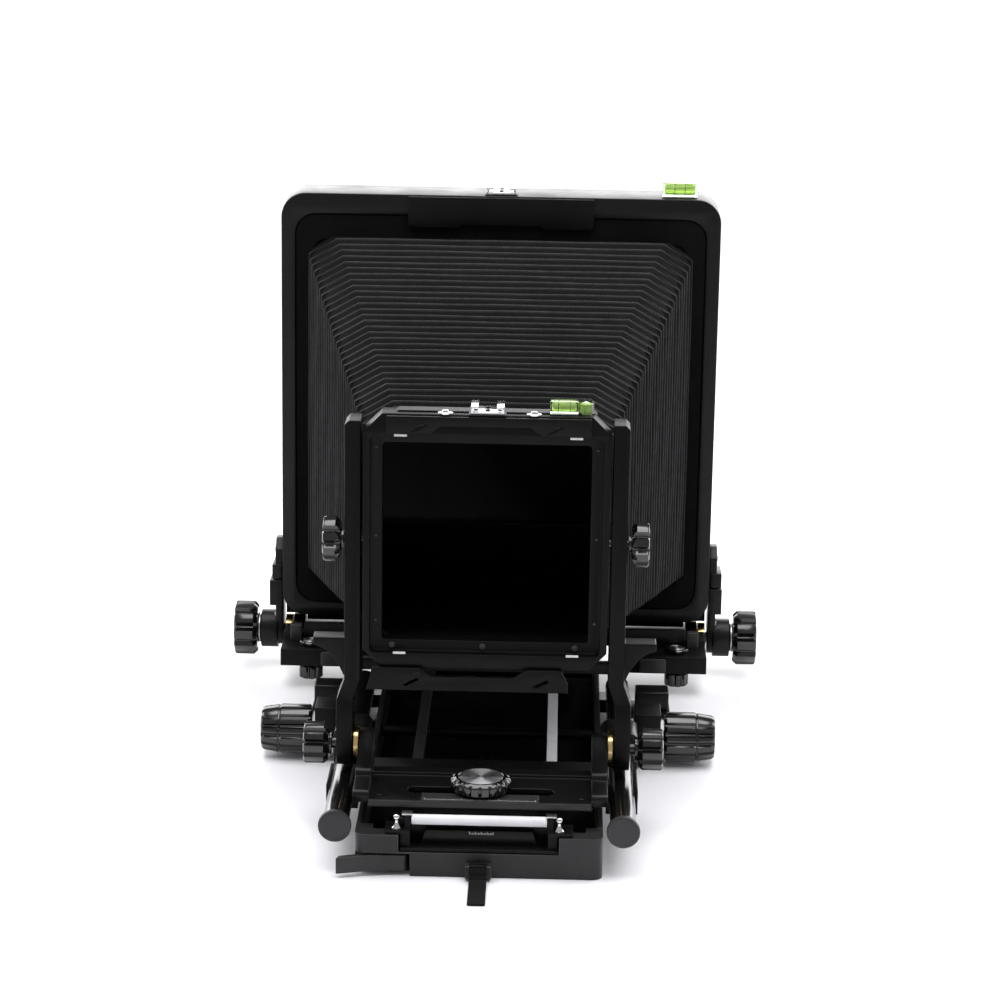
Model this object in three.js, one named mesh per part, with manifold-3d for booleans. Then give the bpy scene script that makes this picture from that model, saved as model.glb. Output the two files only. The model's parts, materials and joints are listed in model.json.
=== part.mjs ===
// A large-format view camera with its bed open and both standards raised, no lens board fitted.
// Millimetres. +X is the right side seen from the lens end, -Y points out of the lens end, +Z is up.
// The origin is the centre of the tripod plate's underside.
import * as THREE from "three";
import { mergeVertices } from "three/addons/utils/BufferGeometryUtils.js";
import Module from "manifold-3d";

// ---- Driving dimensions ----
const GAP = 0.3; // air between pieces that touch
const ROUND = 16; // sides of a small round piece

// Where the standards stand along the bed
const FRONT_Y = -100; // plane of the front standard
const BELLOWS_DRAW = 333; // front plane to the rear frame's front face
const REAR_Y = FRONT_Y + BELLOWS_DRAW;

// Bed
const BED_HALF = 83.5;
const BED_HEIGHT = 29;
const BED_WALL = 4;
const BED_FRONT = FRONT_Y - 93;
const BED_BACK = REAR_Y + 33;
const BED_BLOCK_DEPTH = 21;
const NOTCH_HALF = 54;
const NOTCH_DEPTH = 12;
const TRIPOD_PLATE = { half: 38, length: 96, thick: 5, socket: 4.4, socketAt: 26 };

// Twin guide tubes and the focus drive
const TUBE = { x: 97, z: 33, r: 8.9, bore: 7.4, front: FRONT_Y - 86, back: FRONT_Y + 215 };
const TUBE_CAP = { r: 11.25, thick: 4, chamfer: 0.6, plug: 6 };
const FOCUS = {
  y: FRONT_Y + 141,
  z: 19.5,
  shaftR: 4,
  pinionR: 7.2,
  drumR: 18.5,
  drumIn: 131,
  drumOut: 168.5,
};
const RACK = { x: 48, half: 3.7, bottom: 27.6, top: 31.7, front: FRONT_Y - 20, back: FRONT_Y + 255 };

// Front carriage and the sliding cross plate
const CARRIAGE = { bottom: 32, top: 41.9, half: 22 };
const STUD_Y = FRONT_Y - 52.5;
const PLATE = { front: FRONT_Y - 77, back: FRONT_Y - 25, bottom: 42.6, top: 46.8, half: 76 };
const EAR = { inner: 76, outer: 86.3 };
const SHIFT_SLOT = { half: 50, halfWidth: 6 };
const SHIFT_KNOB = { r: 20.5, bottom: 47.4, top: 57.4 };

// Yoke and lens frame
const TILT_Y = FRONT_Y + 1;
const TILT_Z = 60;
const BOSS_R = 15;
const ARM = { inner: 85.5, outer: 96.5, jog: 5.3, top: 294, jogTop: 110, jogBottom: 95, half: 11 };
const CENTRE_Z = 208; // lens axis
const LENS_FRAME = { half: 84, bottom: 120, top: 300, front: FRONT_Y - 12, back: FRONT_Y + 6, chamfer: 13 };
const BOARD_HALF = 79;
const BOARD_HALF_HEIGHT = 77.5;
const CLEAR_HALF = 71;
const BOARD_DEPTH = 8;

// Bellows: half width, half height and centre height at each end
const BELLOWS = {
  pleats: 34,
  depth: 5,
  wall: 1.4,
  tuck: 4,
  front: { half: 80, tall: 78, z: 207 },
  back: { half: 151, tall: 144, z: 216 },
};

// Rear standard and back
const REAR_FRAME = {
  half: 171,
  bottom: 48,
  top: 391,
  depth: 42,
  radius: 19,
  rim: 11,
  topRim: 16,
  opening: 152,
};
const REAR_MID = (REAR_FRAME.bottom + REAR_FRAME.top) / 2;
const REAR_AXIS = { y: REAR_Y + 19, z: 30.5 };
const REAR_KNOB = { r: 21.8, inner: 191, outer: 211 };
const WING = { inner: 96, outer: 169, bottom: 19, top: 31.8, front: REAR_Y - 43, back: REAR_Y + 33 };
const BACK = { half: 164, thick: 10.5, clearX: 128.5, clearZ: 103 };
const COVER = {
  half: 127.5,
  bottom: REAR_MID - 103,
  axisZ: REAR_MID + 102,
  rise: 3,
  plate: 2.2,
  r: 2.4,
  ribX: 60,
};
const GLASS = { halfX: 131, halfZ: 105.5, thick: 3, frameX: 150, frameZ: 123, frameThick: 8 };

// ---- Materials ----
const paint = (color, roughness = 0.45, metalness = 0.2) =>
  new THREE.MeshStandardMaterial({ color, roughness, metalness });
const BLACK = paint(0x17181a);
const SATIN = paint(0x1f2023, 0.32, 0.3);
const GREY = paint(0x2c2d30, 0.4, 0.4);
const STEEL = paint(0xb9b9b6, 0.3, 0.9);
const WHITE = paint(0xe6e4e0, 0.5, 0);
const CLOTH = paint(0x141415, 0.8, 0);
const GLASSY = paint(0xcfd6d2, 0.5, 0);
const GREEN = paint(0x9fc93a, 0.2, 0);

// ---- Solids ----
const wasm = await Module();
wasm.setup();

// A closed geometry as a solid, with shared corners merged and slivers left out.
function toSolid(geometry) {
  const bare = new THREE.BufferGeometry();
  bare.setAttribute("position", geometry.getAttribute("position"));
  bare.setIndex(geometry.getIndex());
  const merged = mergeVertices(bare, 1e-4);
  const corners = merged.getIndex().array;
  const kept = [];
  for (let i = 0; i < corners.length; i += 3) {
    const [a, b, c] = [corners[i], corners[i + 1], corners[i + 2]];
    if (a !== b && b !== c && c !== a) kept.push(a, b, c);
  }
  const vertProperties = merged.getAttribute("position").array;
  return new wasm.Manifold(new wasm.Mesh({ numProp: 3, vertProperties, triVerts: new Uint32Array(kept) }));
}

function fromSolid(solid) {
  const { vertProperties, triVerts } = solid.getMesh();
  const geometry = new THREE.BufferGeometry();
  geometry.setAttribute("position", new THREE.BufferAttribute(vertProperties, 3));
  geometry.setIndex(new THREE.BufferAttribute(triVerts, 1));
  return geometry;
}

const join = (...shapes) => fromSolid(shapes.map(toSolid).reduce((a, b) => a.add(b)));
const cut = (shape, ...tools) =>
  fromSolid(tools.map(toSolid).reduce((rest, tool) => rest.subtract(tool), toSolid(shape)));
const common = (a, b) => fromSolid(toSolid(a).intersect(toSolid(b)));

// The same shape on the other side of the symmetry plane.
function mirrored(geometry) {
  const flipped = fromSolid(toSolid(geometry));
  flipped.scale(-1, 1, 1);
  const index = flipped.getIndex().array;
  for (let i = 0; i < index.length; i += 3) [index[i + 1], index[i + 2]] = [index[i + 2], index[i + 1]];
  return flipped;
}

function box(x0, x1, y0, y1, z0, z1) {
  const geometry = new THREE.BoxGeometry(x1 - x0, y1 - y0, z1 - z0);
  return geometry.translate((x0 + x1) / 2, (y0 + y1) / 2, (z0 + z1) / 2);
}

// An outline swept along one axis. For "X" its sides are Y and Z, for "Y" X and Z, for "Z" X and Y.
const BASES = {
  X: [new THREE.Vector3(0, 1, 0), new THREE.Vector3(0, 0, 1), new THREE.Vector3(1, 0, 0)],
  Y: [new THREE.Vector3(1, 0, 0), new THREE.Vector3(0, 0, 1), new THREE.Vector3(0, -1, 0)],
  Z: [new THREE.Vector3(1, 0, 0), new THREE.Vector3(0, 1, 0), new THREE.Vector3(0, 0, 1)],
};

function swept(axis, outline, from, to, sides = 6) {
  const options = { depth: to - from, bevelEnabled: false, curveSegments: sides };
  const geometry = new THREE.ExtrudeGeometry(outline, options);
  geometry.applyMatrix4(new THREE.Matrix4().makeBasis(...BASES[axis]));
  const shift = { X: [from, 0, 0], Y: [0, to, 0], Z: [0, 0, from] };
  return geometry.translate(...shift[axis]);
}

const polygon = (...points) => new THREE.Shape(points.map(([u, v]) => new THREE.Vector2(u, v)));

function roundedRect(u0, u1, v0, v1, r) {
  const shape = new THREE.Shape();
  shape.moveTo(u0 + r, v0);
  shape.lineTo(u1 - r, v0);
  shape.absarc(u1 - r, v0 + r, r, -Math.PI / 2, 0, false);
  shape.lineTo(u1, v1 - r);
  shape.absarc(u1 - r, v1 - r, r, 0, Math.PI / 2, false);
  shape.lineTo(u0 + r, v1);
  shape.absarc(u0 + r, v1 - r, r, Math.PI / 2, Math.PI, false);
  shape.lineTo(u0, v0 + r);
  shape.absarc(u0 + r, v0 + r, r, Math.PI, 1.5 * Math.PI, false);
  return shape;
}

// A solid of revolution about an axis line; each profile point is [distance along the axis, radius].
function turned(axis, profile, u = 0, v = 0, sides = ROUND) {
  const points = profile.map(([along, r]) => new THREE.Vector2(r, along));
  const geometry = new THREE.LatheGeometry(points, sides);
  const basis = {
    X: [new THREE.Vector3(0, 1, 0), new THREE.Vector3(1, 0, 0), new THREE.Vector3(0, 0, -1)],
    Y: [new THREE.Vector3(1, 0, 0), new THREE.Vector3(0, 1, 0), new THREE.Vector3(0, 0, 1)],
    Z: [new THREE.Vector3(1, 0, 0), new THREE.Vector3(0, 0, 1), new THREE.Vector3(0, -1, 0)],
  }[axis];
  geometry.applyMatrix4(new THREE.Matrix4().makeBasis(...basis));
  const shift = { X: [0, u, v], Y: [u, 0, v], Z: [u, v, 0] };
  return geometry.translate(...shift[axis]);
}

// A plain round bar or hole along an axis, its line through (u, v).
const bar = (axis, r, from, to, u, v, sides = ROUND) =>
  turned(axis, [[from, 0], [from, r], [to, r], [to, 0]], u, v, sides);

// The outline of a hand knob with round-bottomed flutes.
function fluteOutline(r, depth, flutes) {
  const points = [];
  const perFlute = 4;
  for (let i = 0; i < flutes * perFlute; i += 1) {
    const angle = (i / (flutes * perFlute)) * 2 * Math.PI;
    const inFlute = i % perFlute === 0;
    const radius = inFlute ? r - depth : r;
    points.push([radius * Math.cos(angle), radius * Math.sin(angle)]);
  }
  return polygon(...points);
}

const root = new THREE.Group();

function add(name, geometry, material) {
  const mesh = new THREE.Mesh(fromSolid(toSolid(geometry)), material);
  mesh.name = name;
  root.add(mesh);
}

// A piece on the right side and its mirror image on the left.
function addPair(name, geometry, material) {
  add(name + "_right", geometry, material);
  add(name + "_left", mirrored(geometry), material);
}

// ---- Bed ----
function bed() {
  const inner = BED_HALF - BED_WALL;
  const blockBack = BED_FRONT + BED_BLOCK_DEPTH;
  const plateHalf = TRIPOD_PLATE.half + GAP;
  const plateEnd = TRIPOD_PLATE.length / 2 + GAP;
  const floor = box(-inner + GAP, inner - GAP, blockBack + GAP, BED_BACK, 0, BED_WALL);
  const window = box(-plateHalf, plateHalf, -plateEnd, plateEnd, -1, BED_WALL + 1);
  add("bed_floor", cut(floor, window), BLACK);

  const side = box(inner, BED_HALF, blockBack + GAP, BED_BACK, 0, BED_HEIGHT);
  const shaftHole = bar("X", FOCUS.shaftR + 0.6, inner - 1, BED_HALF + 1, FOCUS.y, FOCUS.z, 16);
  addPair("bed_side", cut(side, shaftHole), SATIN);

  const outline = roundedRect(-BED_HALF, BED_HALF, BED_FRONT, blockBack + 8, 7);
  const block = common(
    swept("Z", outline, 0, BED_HEIGHT),
    box(-BED_HALF, BED_HALF, BED_FRONT, blockBack, 0, BED_HEIGHT),
  );
  const notch = box(-NOTCH_HALF, NOTCH_HALF, BED_FRONT - 1, blockBack + 1, BED_HEIGHT - NOTCH_DEPTH, 40);
  const leverRecess = box(-BED_HALF - 1, -46, BED_FRONT - 1, BED_FRONT + 9, -1, 16);
  const hollow = box(-72, 72, BED_FRONT + 12, blockBack + 1, 4, 40);
  const loop = cut(
    swept("X", roundedRect(BED_FRONT - 7, BED_FRONT + 1, 1.2, 10.5, 1.5), -8.6, 8.6),
    box(-6.4, 6.4, BED_FRONT - 5.2, BED_FRONT - 0.5, 0, 12),
  );
  add("bed_front_block", join(cut(block, notch, leverRecess, hollow), loop), SATIN);

  const plate = swept("Z", roundedRect(-38, 38, -48, 48, 5), 0, TRIPOD_PLATE.thick, 4);
  const { socket, socketAt } = TRIPOD_PLATE;
  const sockets = [-1, 1].map((s) => bar("Z", socket, -1, 9, 0, s * socketAt, 20));
  add("tripod_plate", cut(plate, ...sockets), STEEL);
}

// ---- Bearings for the guide tubes and the focus shaft, fixed to the bed's sides ----
function bearings() {
  const outer = BED_HALF + GAP;
  const block = swept("Y", roundedRect(outer, 110, 14, 45.5, 6), FRONT_Y + 72, FRONT_Y + 104, 4);
  const bore = bar("Y", TUBE.r + 0.2, FRONT_Y + 60, FRONT_Y + 120, TUBE.x, TUBE.z, 32);
  addPair("tube_bearing", cut(block, bore), SATIN);

  const low = box(outer, 110, FOCUS.y - 14, FOCUS.y + 14, 9, 23.2);
  const upright = swept(
    "X",
    polygon(
      [FOCUS.y - 17, 8], [FOCUS.y + 17, 8], [FOCUS.y + 17, 34],
      [FOCUS.y + 9, 42], [FOCUS.y - 17, 42],
    ),
    108.5,
    128,
  );
  const shaftBore = bar("X", FOCUS.shaftR + 0.2, 80, 130, FOCUS.y, FOCUS.z, 24);
  addPair("focus_housing", cut(join(low, upright), shaftBore), BLACK);
}

// ---- Focus drive: one shaft with two pinions, and a ribbed drum at each end ----
function focusDrive() {
  const { y, z, shaftR, pinionR, drumR, drumIn, drumOut } = FOCUS;
  const half = drumIn - GAP;
  const profile = [[-half, 0], [-half, shaftR]];
  for (const side of [-1, 1]) {
    const near = side * RACK.x - 4.5;
    const far = side * RACK.x + 4.5;
    profile.push([near, shaftR], [near, pinionR], [far, pinionR], [far, shaftR]);
  }
  profile.push([half, shaftR], [half, 0]);
  add("focus_shaft", turned("X", profile, y, z), STEEL);

  const ribs = swept("Z", fluteOutline(drumR, 0.9, 15), 0, drumOut - drumIn);
  const length = drumOut - drumIn;
  const envelope = turned(
    "Z",
    [
      [0, 0], [0, drumR - 1.6], [1.6, drumR + 0.1], [23, drumR + 0.1],
      [length - 1.5, 16.6], [length, 15], [length, 0],
    ],
    0,
    0,
    20,
  );
  const drum = common(ribs, envelope);
  drum.rotateY(Math.PI / 2).translate(drumIn, y, z);
  addPair("focus_drum", drum, BLACK);
}

// ---- Front carriage: the cross bar that the capped guide tubes and the racks are fixed to ----
function frontCarriage() {
  const { bottom, top, half } = CARRIAGE;
  const crossBar = box(-88, 88, FRONT_Y - half, FRONT_Y + half, bottom, top);
  const tongue = box(-40, 40, FRONT_Y - 68, FRONT_Y - half + 1, bottom, top - 1.2);
  const saddles = [-1, 1].map((s) =>
    box(Math.min(s * 86, s * 108), Math.max(s * 86, s * 108), FRONT_Y - half, FRONT_Y + half, 20, 37),
  );
  const grooves = [-1, 1].map((s) =>
    bar("Y", TUBE.r + GAP, FRONT_Y - 60, FRONT_Y + 60, s * TUBE.x, TUBE.z, 32),
  );
  const studHole = bar("Z", 6, bottom - 1, top + 1, 0, STUD_Y, 24);
  add("front_carriage", cut(join(crossBar, tongue, ...saddles), ...grooves, studHole), BLACK);

  const capFront = TUBE.front - TUBE_CAP.thick;
  const tubeProfile = [
    [capFront, 0],
    [capFront, TUBE_CAP.r - TUBE_CAP.chamfer],
    [capFront + TUBE_CAP.chamfer, TUBE_CAP.r],
    [TUBE.front, TUBE_CAP.r],
    [TUBE.front, TUBE.r],
    [TUBE.back, TUBE.r],
    [TUBE.back, TUBE.bore],
    [TUBE.front + TUBE_CAP.plug, TUBE.bore],
    [TUBE.front + TUBE_CAP.plug, 0],
  ];
  addPair("guide_tube", turned("Y", tubeProfile, TUBE.x, TUBE.z, 28), SATIN);
  const rack = box(RACK.x - RACK.half, RACK.x + RACK.half, RACK.front, RACK.back, RACK.bottom, RACK.top);
  addPair("rack", rack, STEEL);
}

// ---- Roller bracket in the bed's front notch, with its free roller ----
const ROLLER = { y: FRONT_Y - 82, z: 36.6, r: 3.5, half: 45.6, shaftR: 1.7 };

function roller() {
  const base = box(-53, 53, FRONT_Y - 92, FRONT_Y - 68.4, 17.4, 19.6);
  const lugs = [-1, 1].flatMap((s) => [
    box(Math.min(s * 46.4, s * 53), Math.max(s * 46.4, s * 53), FRONT_Y - 88, FRONT_Y - 76, 19, 31),
    box(Math.min(s * 46.4, s * 50), Math.max(s * 46.4, s * 50), FRONT_Y - 85.5, FRONT_Y - 78, 30, 40),
    box(Math.min(s * 46.4, s * 63), Math.max(s * 46.4, s * 63), FRONT_Y - 91, FRONT_Y - 75, 29.4, 31.4),
  ]);
  const backBar = join(
    box(-63, 63, FRONT_Y - 76.5, FRONT_Y - 68.4, 29.4, 32.6),
    box(-52.9, 52.9, FRONT_Y - 76.5, FRONT_Y - 68.4, 25, 30),
  );
  const shaft = bar("X", ROLLER.shaftR, -54, 54, ROLLER.y, ROLLER.z, 14);
  add("roller_bracket", join(base, ...lugs, backBar, shaft), GREY);

  const inner = ROLLER.shaftR + 0.25;
  const tube = [
    [-ROLLER.half, inner],
    [-ROLLER.half, ROLLER.r],
    [ROLLER.half, ROLLER.r],
    [ROLLER.half, inner],
    [-ROLLER.half, inner],
  ];
  add("roller", turned("X", tube, ROLLER.y, ROLLER.z, 20), WHITE);
}

// ---- Swing stud, its knob, and the cross plate that shifts along it ----
function crossPlate() {
  const keyOutline = roundedRect(-12, 12, STUD_Y - 5.7, STUD_Y + 5.7, 5.6);
  const key = swept("Z", keyOutline, PLATE.bottom - 0.4, PLATE.top, 5);
  const studProfile = [
    [CARRIAGE.bottom + 0.5, 0],
    [CARRIAGE.bottom + 0.5, 5.7],
    [PLATE.top, 5.7],
    [PLATE.top, 3],
    [SHIFT_KNOB.bottom + 6, 3],
    [SHIFT_KNOB.bottom + 6, 0],
  ];
  add("swing_stud", join(key, turned("Z", studProfile, 0, STUD_Y)), STEEL);

  const { r, bottom, top } = SHIFT_KNOB;
  const scallops = swept("Z", fluteOutline(r, 1.6, 12), bottom, top);
  const dome = turned(
    "Z",
    [[bottom, 0], [bottom, r - 2], [bottom + 2, r + 0.1], [top - 2.4, r + 0.1], [top, 17.4], [top, 0]],
    0,
    0,
    24,
  );
  const knob = common(scallops, dome).translate(0, STUD_Y, 0);
  add("shift_knob", cut(knob, bar("Z", 3.3, bottom - 1, bottom + 7, 0, STUD_Y)), BLACK);

  const plate = box(-PLATE.half, PLATE.half, PLATE.front, PLATE.back, PLATE.bottom, PLATE.top);
  const frontStep = box(-PLATE.half, PLATE.half, PLATE.front - 1, PLATE.front + 2.5, 45, PLATE.top + 1);
  const slotHalf = SHIFT_SLOT.half;
  const wide = SHIFT_SLOT.halfWidth;
  const slot = swept(
    "Z",
    roundedRect(-slotHalf, slotHalf, STUD_Y - wide, STUD_Y + wide, wide - 0.05),
    PLATE.bottom - 1,
    PLATE.top + 1,
    5,
  );
  const rib = box(-PLATE.half, PLATE.half, PLATE.back - 1, PLATE.back + 10, PLATE.bottom, PLATE.top + 2.4);
  const ear = swept("X", earOutline(), EAR.inner - 0.5, EAR.outer, 5);
  const boltHole = bar("X", 4.3, -100, 100, TILT_Y, TILT_Z, 20);
  const body = join(cut(plate, frontStep), rib, ear, mirrored(ear));
  add("cross_plate", cut(body, slot, boltHole), SATIN);
}

// Side view of a pivot ear: two stepped lobes at the front, and a ring round the base tilt bolt.
function earOutline() {
  const shape = new THREE.Shape();
  const ring = 11;
  shape.moveTo(PLATE.front + 7, 43.2);
  shape.lineTo(FRONT_Y - 14, 43.2);
  shape.lineTo(TILT_Y, TILT_Z - ring);
  shape.absarc(TILT_Y, TILT_Z, ring, -Math.PI / 2, Math.PI * 0.8, false);
  shape.lineTo(FRONT_Y - 34, 57);
  shape.absarc(FRONT_Y - 39, 52.5, 5, Math.PI / 2, Math.PI, false);
  shape.lineTo(FRONT_Y - 56, 52);
  shape.absarc(PLATE.front + 11, 47.5, 4, Math.PI / 2, Math.PI, false);
  return shape;
}

// ---- Base tilt and rise knobs: a fluted head on a long bolt ----
function sideKnob({ r, depth, flutes, inner, outer, boltEnd, boltR, neckR, y, z }) {
  const neck = 2.4;
  const head = swept("Z", fluteOutline(r, depth, flutes), neck, outer - inner);
  const length = outer - inner;
  const envelope = turned(
    "Z",
    [
      [neck - 0.5, 0],
      [neck - 0.5, r - 2.5],
      [neck + 3.4, r + 0.1],
      [length - 1.6, r + 0.1],
      [length, r - 1.8],
      [length, 0],
    ],
    0,
    0,
    20,
  );
  const collar = bar("Z", neckR, 0, neck + 1, 0, 0);
  const bolt = bar("Z", boltR, boltEnd - inner, 1, 0, 0, 12);
  const knob = join(common(head, envelope), collar, bolt);
  return knob.rotateY(Math.PI / 2).translate(inner, y, z);
}

function yokeKnobs() {
  const base = { r: 14.6, depth: 1.9, flutes: 10, inner: 105.2, outer: 125, boltEnd: 77, boltR: 4 };
  addPair("base_tilt_knob", sideKnob({ ...base, neckR: 8.5, y: TILT_Y, z: TILT_Z }), BLACK);
  const rise = { r: 15.5, depth: 2, flutes: 9, inner: 97.2, outer: 111.5, boltEnd: 76, boltR: 3 };
  addPair("rise_knob", sideKnob({ ...rise, neckR: 6, y: TILT_Y, z: CENTRE_Z }), BLACK);
}

// ---- Yoke: two arms and the tie behind them ----
function yoke() {
  const { inner, outer, jog, top, jogTop, jogBottom, half } = ARM;
  const bottom = TILT_Z - BOSS_R;
  const front = polygon(
    [inner, top],
    [inner, jogTop],
    [inner + jog, jogBottom],
    [inner + jog, bottom],
    [outer + jog, bottom],
    [outer + jog, jogBottom],
    [outer, jogTop],
    [outer, top - 3],
    [outer - 3, top],
  );
  const side = new THREE.Shape();
  side.absarc(TILT_Y, TILT_Z, BOSS_R, Math.PI, 2 * Math.PI, false);
  side.lineTo(TILT_Y + BOSS_R, 84);
  side.lineTo(TILT_Y + half, 96);
  side.lineTo(TILT_Y + half, top + 1);
  side.lineTo(TILT_Y - half, top + 1);
  side.lineTo(TILT_Y - half, 96);
  side.lineTo(TILT_Y - BOSS_R, 84);
  const arm = common(swept("Y", front, TILT_Y - 20, TILT_Y + 20), swept("X", side, 80, 110, 10));
  const wing = new THREE.Shape();
  wing.moveTo(outer - 4, 139);
  wing.lineTo(outer + 21.7, 139);
  wing.lineTo(outer + 21.7, 133.5);
  wing.quadraticCurveTo(outer + 8, 131, outer + 1, 112);
  wing.lineTo(outer - 4, 112);
  const gusset = swept("Y", wing, TILT_Y - 7, TILT_Y + 7);
  const slot = box(inner - 1, outer + 1, TILT_Y - 4.5, TILT_Y + 4.5, 186, 262);
  const hole = bar("X", 4.3, 80, 120, TILT_Y, TILT_Z, 20);
  addPair("yoke_arm", cut(join(arm, gusset), slot, hole), SATIN);

  const tieBar = box(-outer, outer, FRONT_Y + 25, FRONT_Y + 32, 106, 114);
  const cheek = box(inner + 0.5, outer, TILT_Y + half + GAP, FRONT_Y + 26, 104, 118);
  add("yoke_tie", join(tieBar, cheek, mirrored(cheek)), BLACK);

  const block = box(inner, outer, TILT_Y - 4.2, TILT_Y + 4.2, CENTRE_Z - 12, CENTRE_Z + 12);
  const pin = bar("X", 3.25, 80, 120, TILT_Y, CENTRE_Z, 16);
  addPair("rise_block", cut(block, pin), STEEL);
}

// ---- Lens frame with its board locks, shoe and level ----
function lensFrame() {
  const { half, bottom, top, front, back, chamfer } = LENS_FRAME;
  const outline = polygon(
    [-half, bottom + chamfer],
    [-half + chamfer, bottom],
    [half - chamfer, bottom],
    [half, bottom + chamfer],
    [half, top - chamfer],
    [half - chamfer, top],
    [-half + chamfer, top],
    [-half, top - chamfer],
  );
  const high = CENTRE_Z + BOARD_HALF_HEIGHT;
  const low = CENTRE_Z - BOARD_HALF_HEIGHT;
  const boardOutline = roundedRect(-BOARD_HALF, BOARD_HALF, low, high, 4.5);
  const recess = swept("Y", boardOutline, front - 1, front + BOARD_DEPTH, 4);
  const clear = roundedRect(-CLEAR_HALF, CLEAR_HALF, CENTRE_Z - 70, CENTRE_Z + 70, 3);
  const opening = swept("Y", clear, front - 1, back + 1, 3);
  const pivots = [-1, 1].map((s) =>
    bar("X", 3.3, Math.min(s * 75, s * 90), Math.max(s * 75, s * 90), TILT_Y, CENTRE_Z, 16),
  );
  add("lens_frame", cut(swept("Y", outline, front, back), recess, opening, ...pivots), SATIN);

  const lockFront = front - 3.3;
  const upper = polygon(
    [-68, 299], [70, 299], [70, 287], [37, 287],
    [29, 292.5], [-31, 292.5], [-38, 287], [-68, 287],
  );
  add("board_lock_top", swept("Y", upper, lockFront, front - GAP), BLACK);
  const lower = polygon(
    [-81, 105], [-77, 121], [-44, 121], [-36, 115], [20, 115],
    [29, 121], [53, 121], [58, 111], [58, 105],
  );
  const slots = [-56, 33].map((x) =>
    swept("Y", polygon([x, 109], [x + 3, 108], [x + 12, 112.5], [x + 10, 114]), lockFront - 1, front + 1),
  );
  add("board_lock_bottom", cut(swept("Y", lower, lockFront, front - GAP), ...slots), BLACK);

  add("front_shoe", accessoryShoe(0, FRONT_Y - 3, LENS_FRAME.top + GAP, 20), STEEL);
  const level = join(
    box(42, 61, FRONT_Y - 8, FRONT_Y + 1, top + GAP, top + 9),
    bar("Z", 5.2, top + GAP, top + 10, 66, FRONT_Y - 3, 20),
  );
  add("front_level", level, GREEN);
}

// A standard accessory shoe: floor, two side walls and inward lips, its middle at (x, y).
function accessoryShoe(x, y, z, length) {
  const half = 11.3;
  const y0 = y - length / 2;
  const y1 = y + length / 2;
  const block = box(x - half, x + half, y0, y1, z, z + 5.8);
  const channel = box(x - 9.4, x + 9.4, y0 - 1, y1 + 1, z + 2, z + 4.2);
  const mouth = box(x - 6.2, x + 6.2, y0 - 1, y1 + 1, z + 4, z + 7);
  return cut(block, channel, mouth);
}

// ---- Bellows: one pleated, tapering tube with four flat sides, open at both ends ----
const LATHE_R = 100; // the plain tube that the tapered sides are drawn out from

function bellows() {
  const frontY = LENS_FRAME.back + GAP;
  const length = REAR_Y + BELLOWS.tuck - frontY;
  const { pleats, depth, wall, front, back } = BELLOWS;
  const crests = [];
  const inside = [];
  for (let i = 0; i <= 2 * pleats; i += 1) {
    const along = (i / (2 * pleats)) * length;
    const drop = i % 2 === 0 ? 0 : depth;
    crests.push([along, LATHE_R - drop]);
    inside.unshift([along, LATHE_R - drop - wall]);
  }
  const tube = turned("Y", [...crests, ...inside, crests[0]], 0, 0, 4);
  tube.rotateY(Math.PI / 4);

  // Each corner of the plain tube then moves out to the tapered side.
  const place = tube.getAttribute("position");
  for (let i = 0; i < place.count; i += 1) {
    const share = place.getY(i) / length;
    const inset = LATHE_R - Math.abs(place.getX(i)) * Math.SQRT2;
    const wide = front.half + (back.half - front.half) * share - inset;
    const tall = front.tall + (back.tall - front.tall) * share - inset;
    const middle = front.z + (back.z - front.z) * share;
    const x = Math.sign(place.getX(i)) * wide;
    const z = middle + Math.sign(place.getZ(i)) * tall;
    place.setXYZ(i, x, frontY + place.getY(i), z);
  }
  add("bellows", tube, CLOTH);
}

// ---- Rear standard ----
function rearBase() {
  const saddleTop = WING.top - GAP;
  const saddle = box(-79.1, 79.1, REAR_Y - 15, REAR_Y + 31, BED_WALL + GAP, saddleTop);
  const pivot = bar("Z", 8, saddleTop - 1, 37.4, 0, REAR_AXIS.y, 24);
  add("rear_saddle", join(saddle, pivot), BLACK);

  const bridge = box(-WING.outer, WING.outer, REAR_Y - 15, WING.back, WING.top, 37.8);
  const wingPlate = box(WING.inner, WING.outer, WING.front, WING.back, WING.bottom, WING.top + 1);
  const lug = common(
    join(
      bar("X", 13, 154, 163, REAR_AXIS.y, REAR_AXIS.z, 28),
      box(154, 163, REAR_AXIS.y - 13, REAR_AXIS.y + 13, 24, REAR_AXIS.z),
    ),
    box(100, 200, 0, 400, 19, 60),
  );
  const pivotHole = bar("Z", 8.4, 20, 50, 0, REAR_AXIS.y, 24);
  const boltHole = bar("X", 4.3, -200, 200, REAR_AXIS.y, REAR_AXIS.z, 20);
  const lockHoles = [-1, 1].map((s) => bar("Z", 3.3, 10, 50, s * 146, REAR_Y - 28, 16));
  const clearance = box(-140, 140, REAR_AXIS.y - 6, REAR_AXIS.y + 6, 24, WING.top);
  const body = join(bridge, wingPlate, mirrored(wingPlate), lug, mirrored(lug));
  add("rear_base_plate", cut(body, pivotHole, boltHole, clearance, ...lockHoles), BLACK);

  const head = common(
    swept("Z", fluteOutline(9.5, 1.3, 9), 5.5, WING.bottom - GAP),
    bar("Z", 9.6, 5.5, WING.bottom - GAP, 0, 0),
  );
  const screw = bar("Z", 3, 12, WING.top + 1.2, 0, 0, 14);
  const lockKnob = join(head, screw).translate(146, REAR_Y - 28, 0);
  addPair("swing_lock_knob", lockKnob, BLACK);
}

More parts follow.
